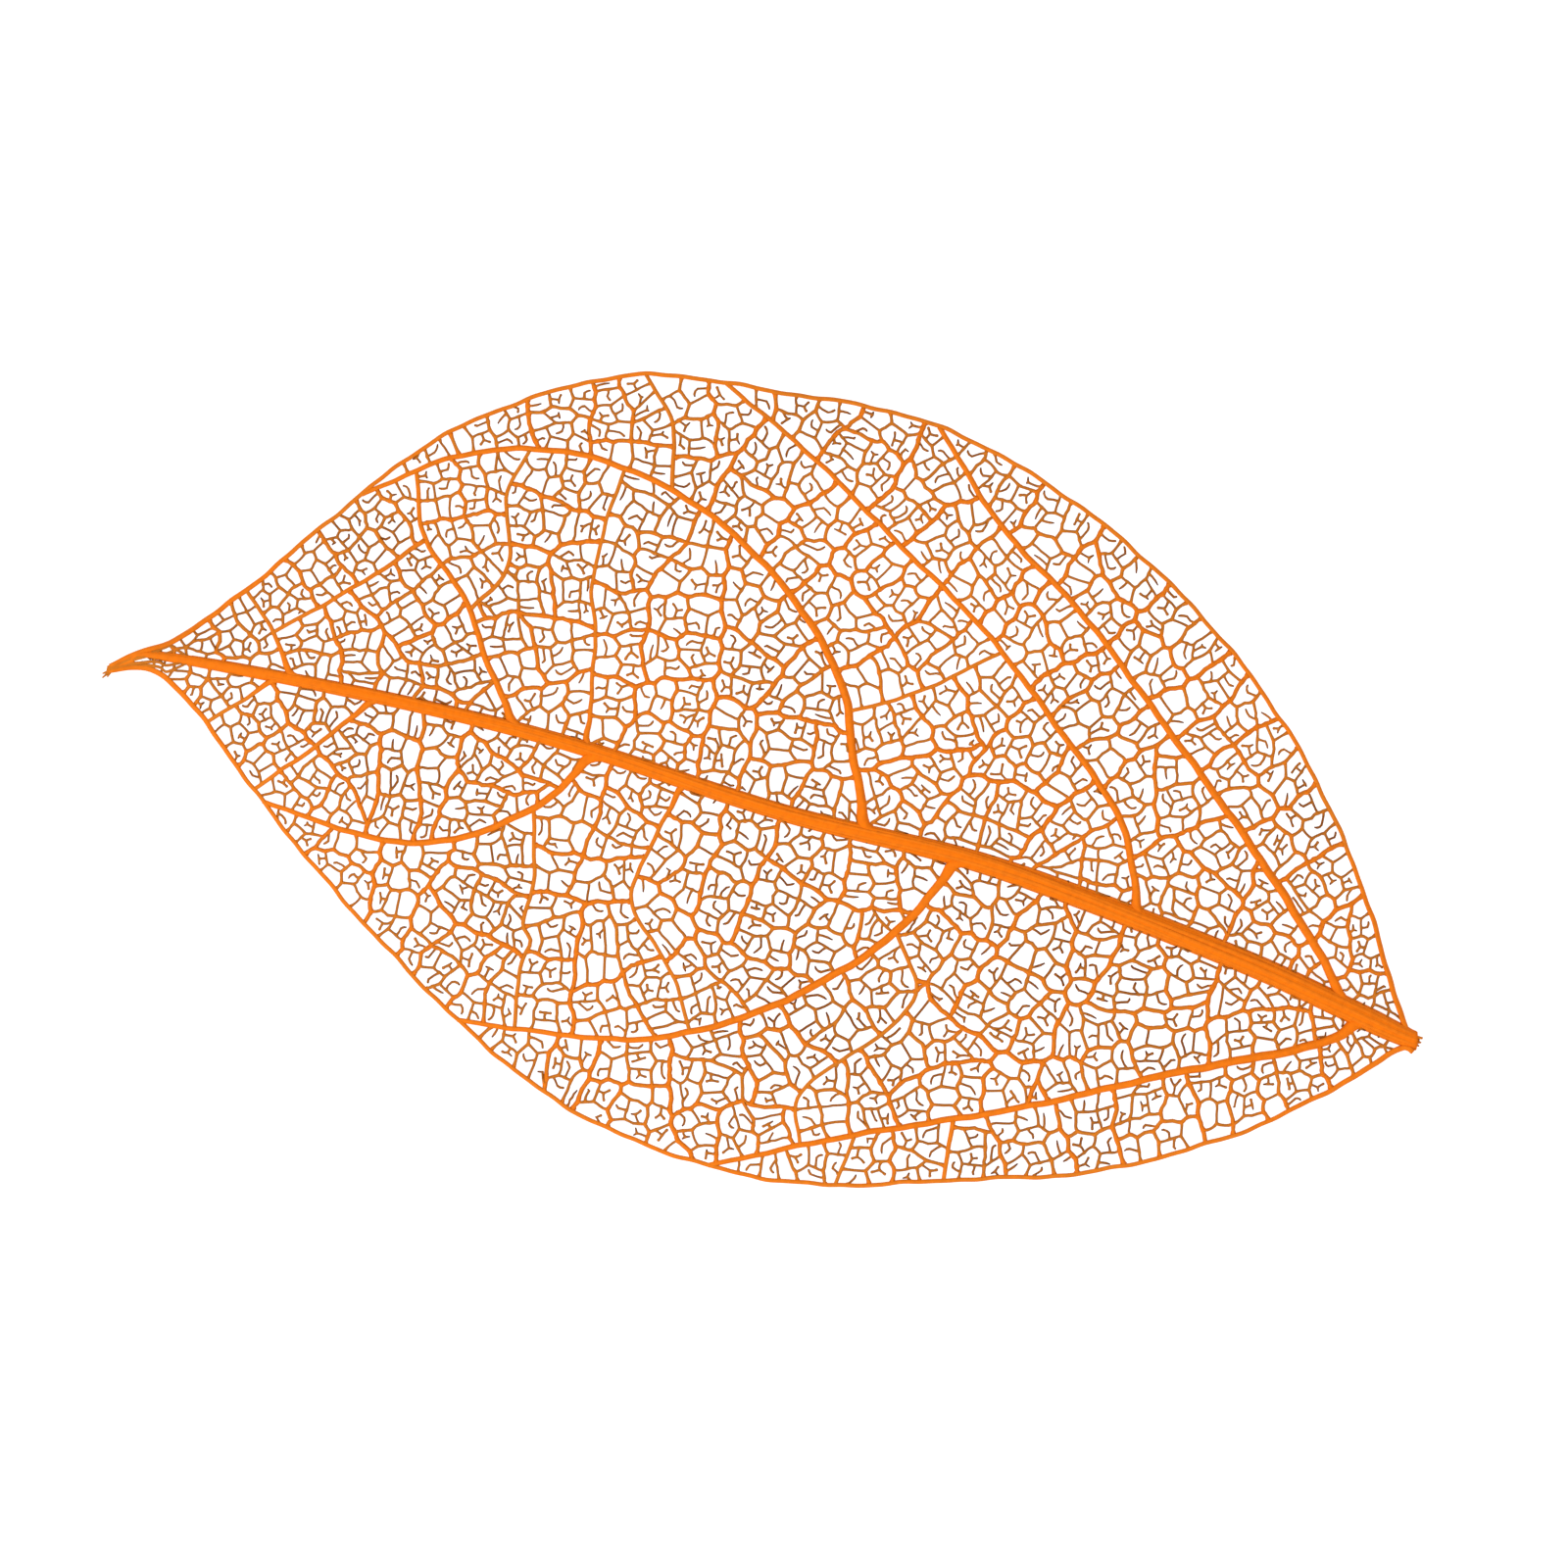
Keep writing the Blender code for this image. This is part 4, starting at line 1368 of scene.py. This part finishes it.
def fibre_material(name, grain_scale, bump):
    """Return the dyed fibre, with its grain at the given scale."""
    material = new_material(name, {"Specular IOR Level": 0.06})
    tree = material.node_tree
    shader = tree.nodes["Principled BSDF"]
    where = node(tree, "ShaderNodeTexCoord")
    ramp = dye_and_shade_colour(tree, where)
    grain = node(tree, "ShaderNodeTexNoise", {"Scale": grain_scale, "Detail": 6})
    darker = node(tree, "ShaderNodeMix", {0: 0.35}, data_type="RGBA", blend_type="MULTIPLY")
    rough = node(tree, "ShaderNodeMapRange", {"To Min": 0.5, "To Max": 0.8})
    relief = node(tree, "ShaderNodeBump", {"Strength": bump, "Distance": 0.00006})
    join(tree, (where.outputs["Object"], grain.inputs["Vector"]),
         (ramp.outputs["Color"], darker.inputs[6]), (grain.outputs["Fac"], darker.inputs[7]),
         (darker.outputs[2], shader.inputs["Base Color"]),
         (grain.outputs["Fac"], rough.inputs["Value"]),
         (rough.outputs[0], shader.inputs["Roughness"]),
         (grain.outputs["Fac"], relief.inputs["Height"]),
         (relief.outputs["Normal"], shader.inputs["Normal"]))
    return material


thick_fibre = fibre_material("thick_fibre", 2600, 0.5)
thin_fibre = fibre_material("thin_fibre", 5200, 0.35)
for name, piece in pieces.items():
    piece.data.materials.append(thin_fibre if name.startswith("net") else thick_fibre)
print("materials", [m.name for m in (thick_fibre, thin_fibre)])

# %% [markdown]
# ## Table, light and camera
# The leaf lies on a light table of white glass, seen from straight above. The table glows a
# little, as the ones for slides do, so that the net is drawn on clear white with hardly a shadow.
# A white surround does most of the other lighting, and one large lamp from the upper left gives
# the veins a little shape. The lens is long, so that the blade is not drawn out towards its edges.

# %% Table
HALF_TABLE = 1.5
table_mesh = bpy.data.meshes.new("table")
table_mesh.from_pydata([(HALF_TABLE * x, HALF_TABLE * y, 0)
                        for x, y in ((-1, -1), (1, -1), (1, 1), (-1, 1))], [], [(0, 1, 2, 3)])
table = into_scene("table", table_mesh)
table.location.z = low_corner.z
table_mesh.materials.append(new_material("white_table", {
    "Base Color": (0.3, 0.3, 0.3, 1), "Roughness": 0.9, "Specular IOR Level": 0.0,
    "Emission Color": (1, 1, 1, 1), "Emission Strength": 0.85}))
print("table side in m", 2 * HALF_TABLE)

# %% Light
LAMP_SPOT, LAMP_SIZE, LAMP_WATTS = (-0.5, 0.45, 0.8), 0.6, 7.5
world = bpy.data.worlds.new("white_room")
bpy.context.scene.world = world
world.use_nodes = True
set_inputs(world.node_tree.nodes["Background"], {"Color": (1, 1, 1, 1), "Strength": 1.15})
lamp_data = bpy.data.lights.new("soft_lamp", "AREA")
lamp_data.size = LAMP_SIZE
lamp_data.energy = LAMP_WATTS
lamp = into_scene("soft_lamp", lamp_data)
lamp.location = LAMP_SPOT
lamp.rotation_euler = (-Vector(LAMP_SPOT)).to_track_quat("-Z", "Y").to_euler()
bpy.context.scene.view_settings.view_transform = "Standard"
print("lamp power in W", LAMP_WATTS)

# %% Camera
TILT = 74.2
FRAME_WIDTH = 0.1035
LENS, SENSOR = 135, 36
camera_data = bpy.data.cameras.new("camera")
camera_data.lens = LENS
camera = into_scene("camera", camera_data)
camera.location = (box_centre.x, box_centre.y, box_centre.z + FRAME_WIDTH * LENS / SENSOR)
camera.rotation_euler = (0, 0, math.radians(-TILT))
bpy.context.scene.camera = camera
print("camera height in mm", round(1000 * camera.location.z))
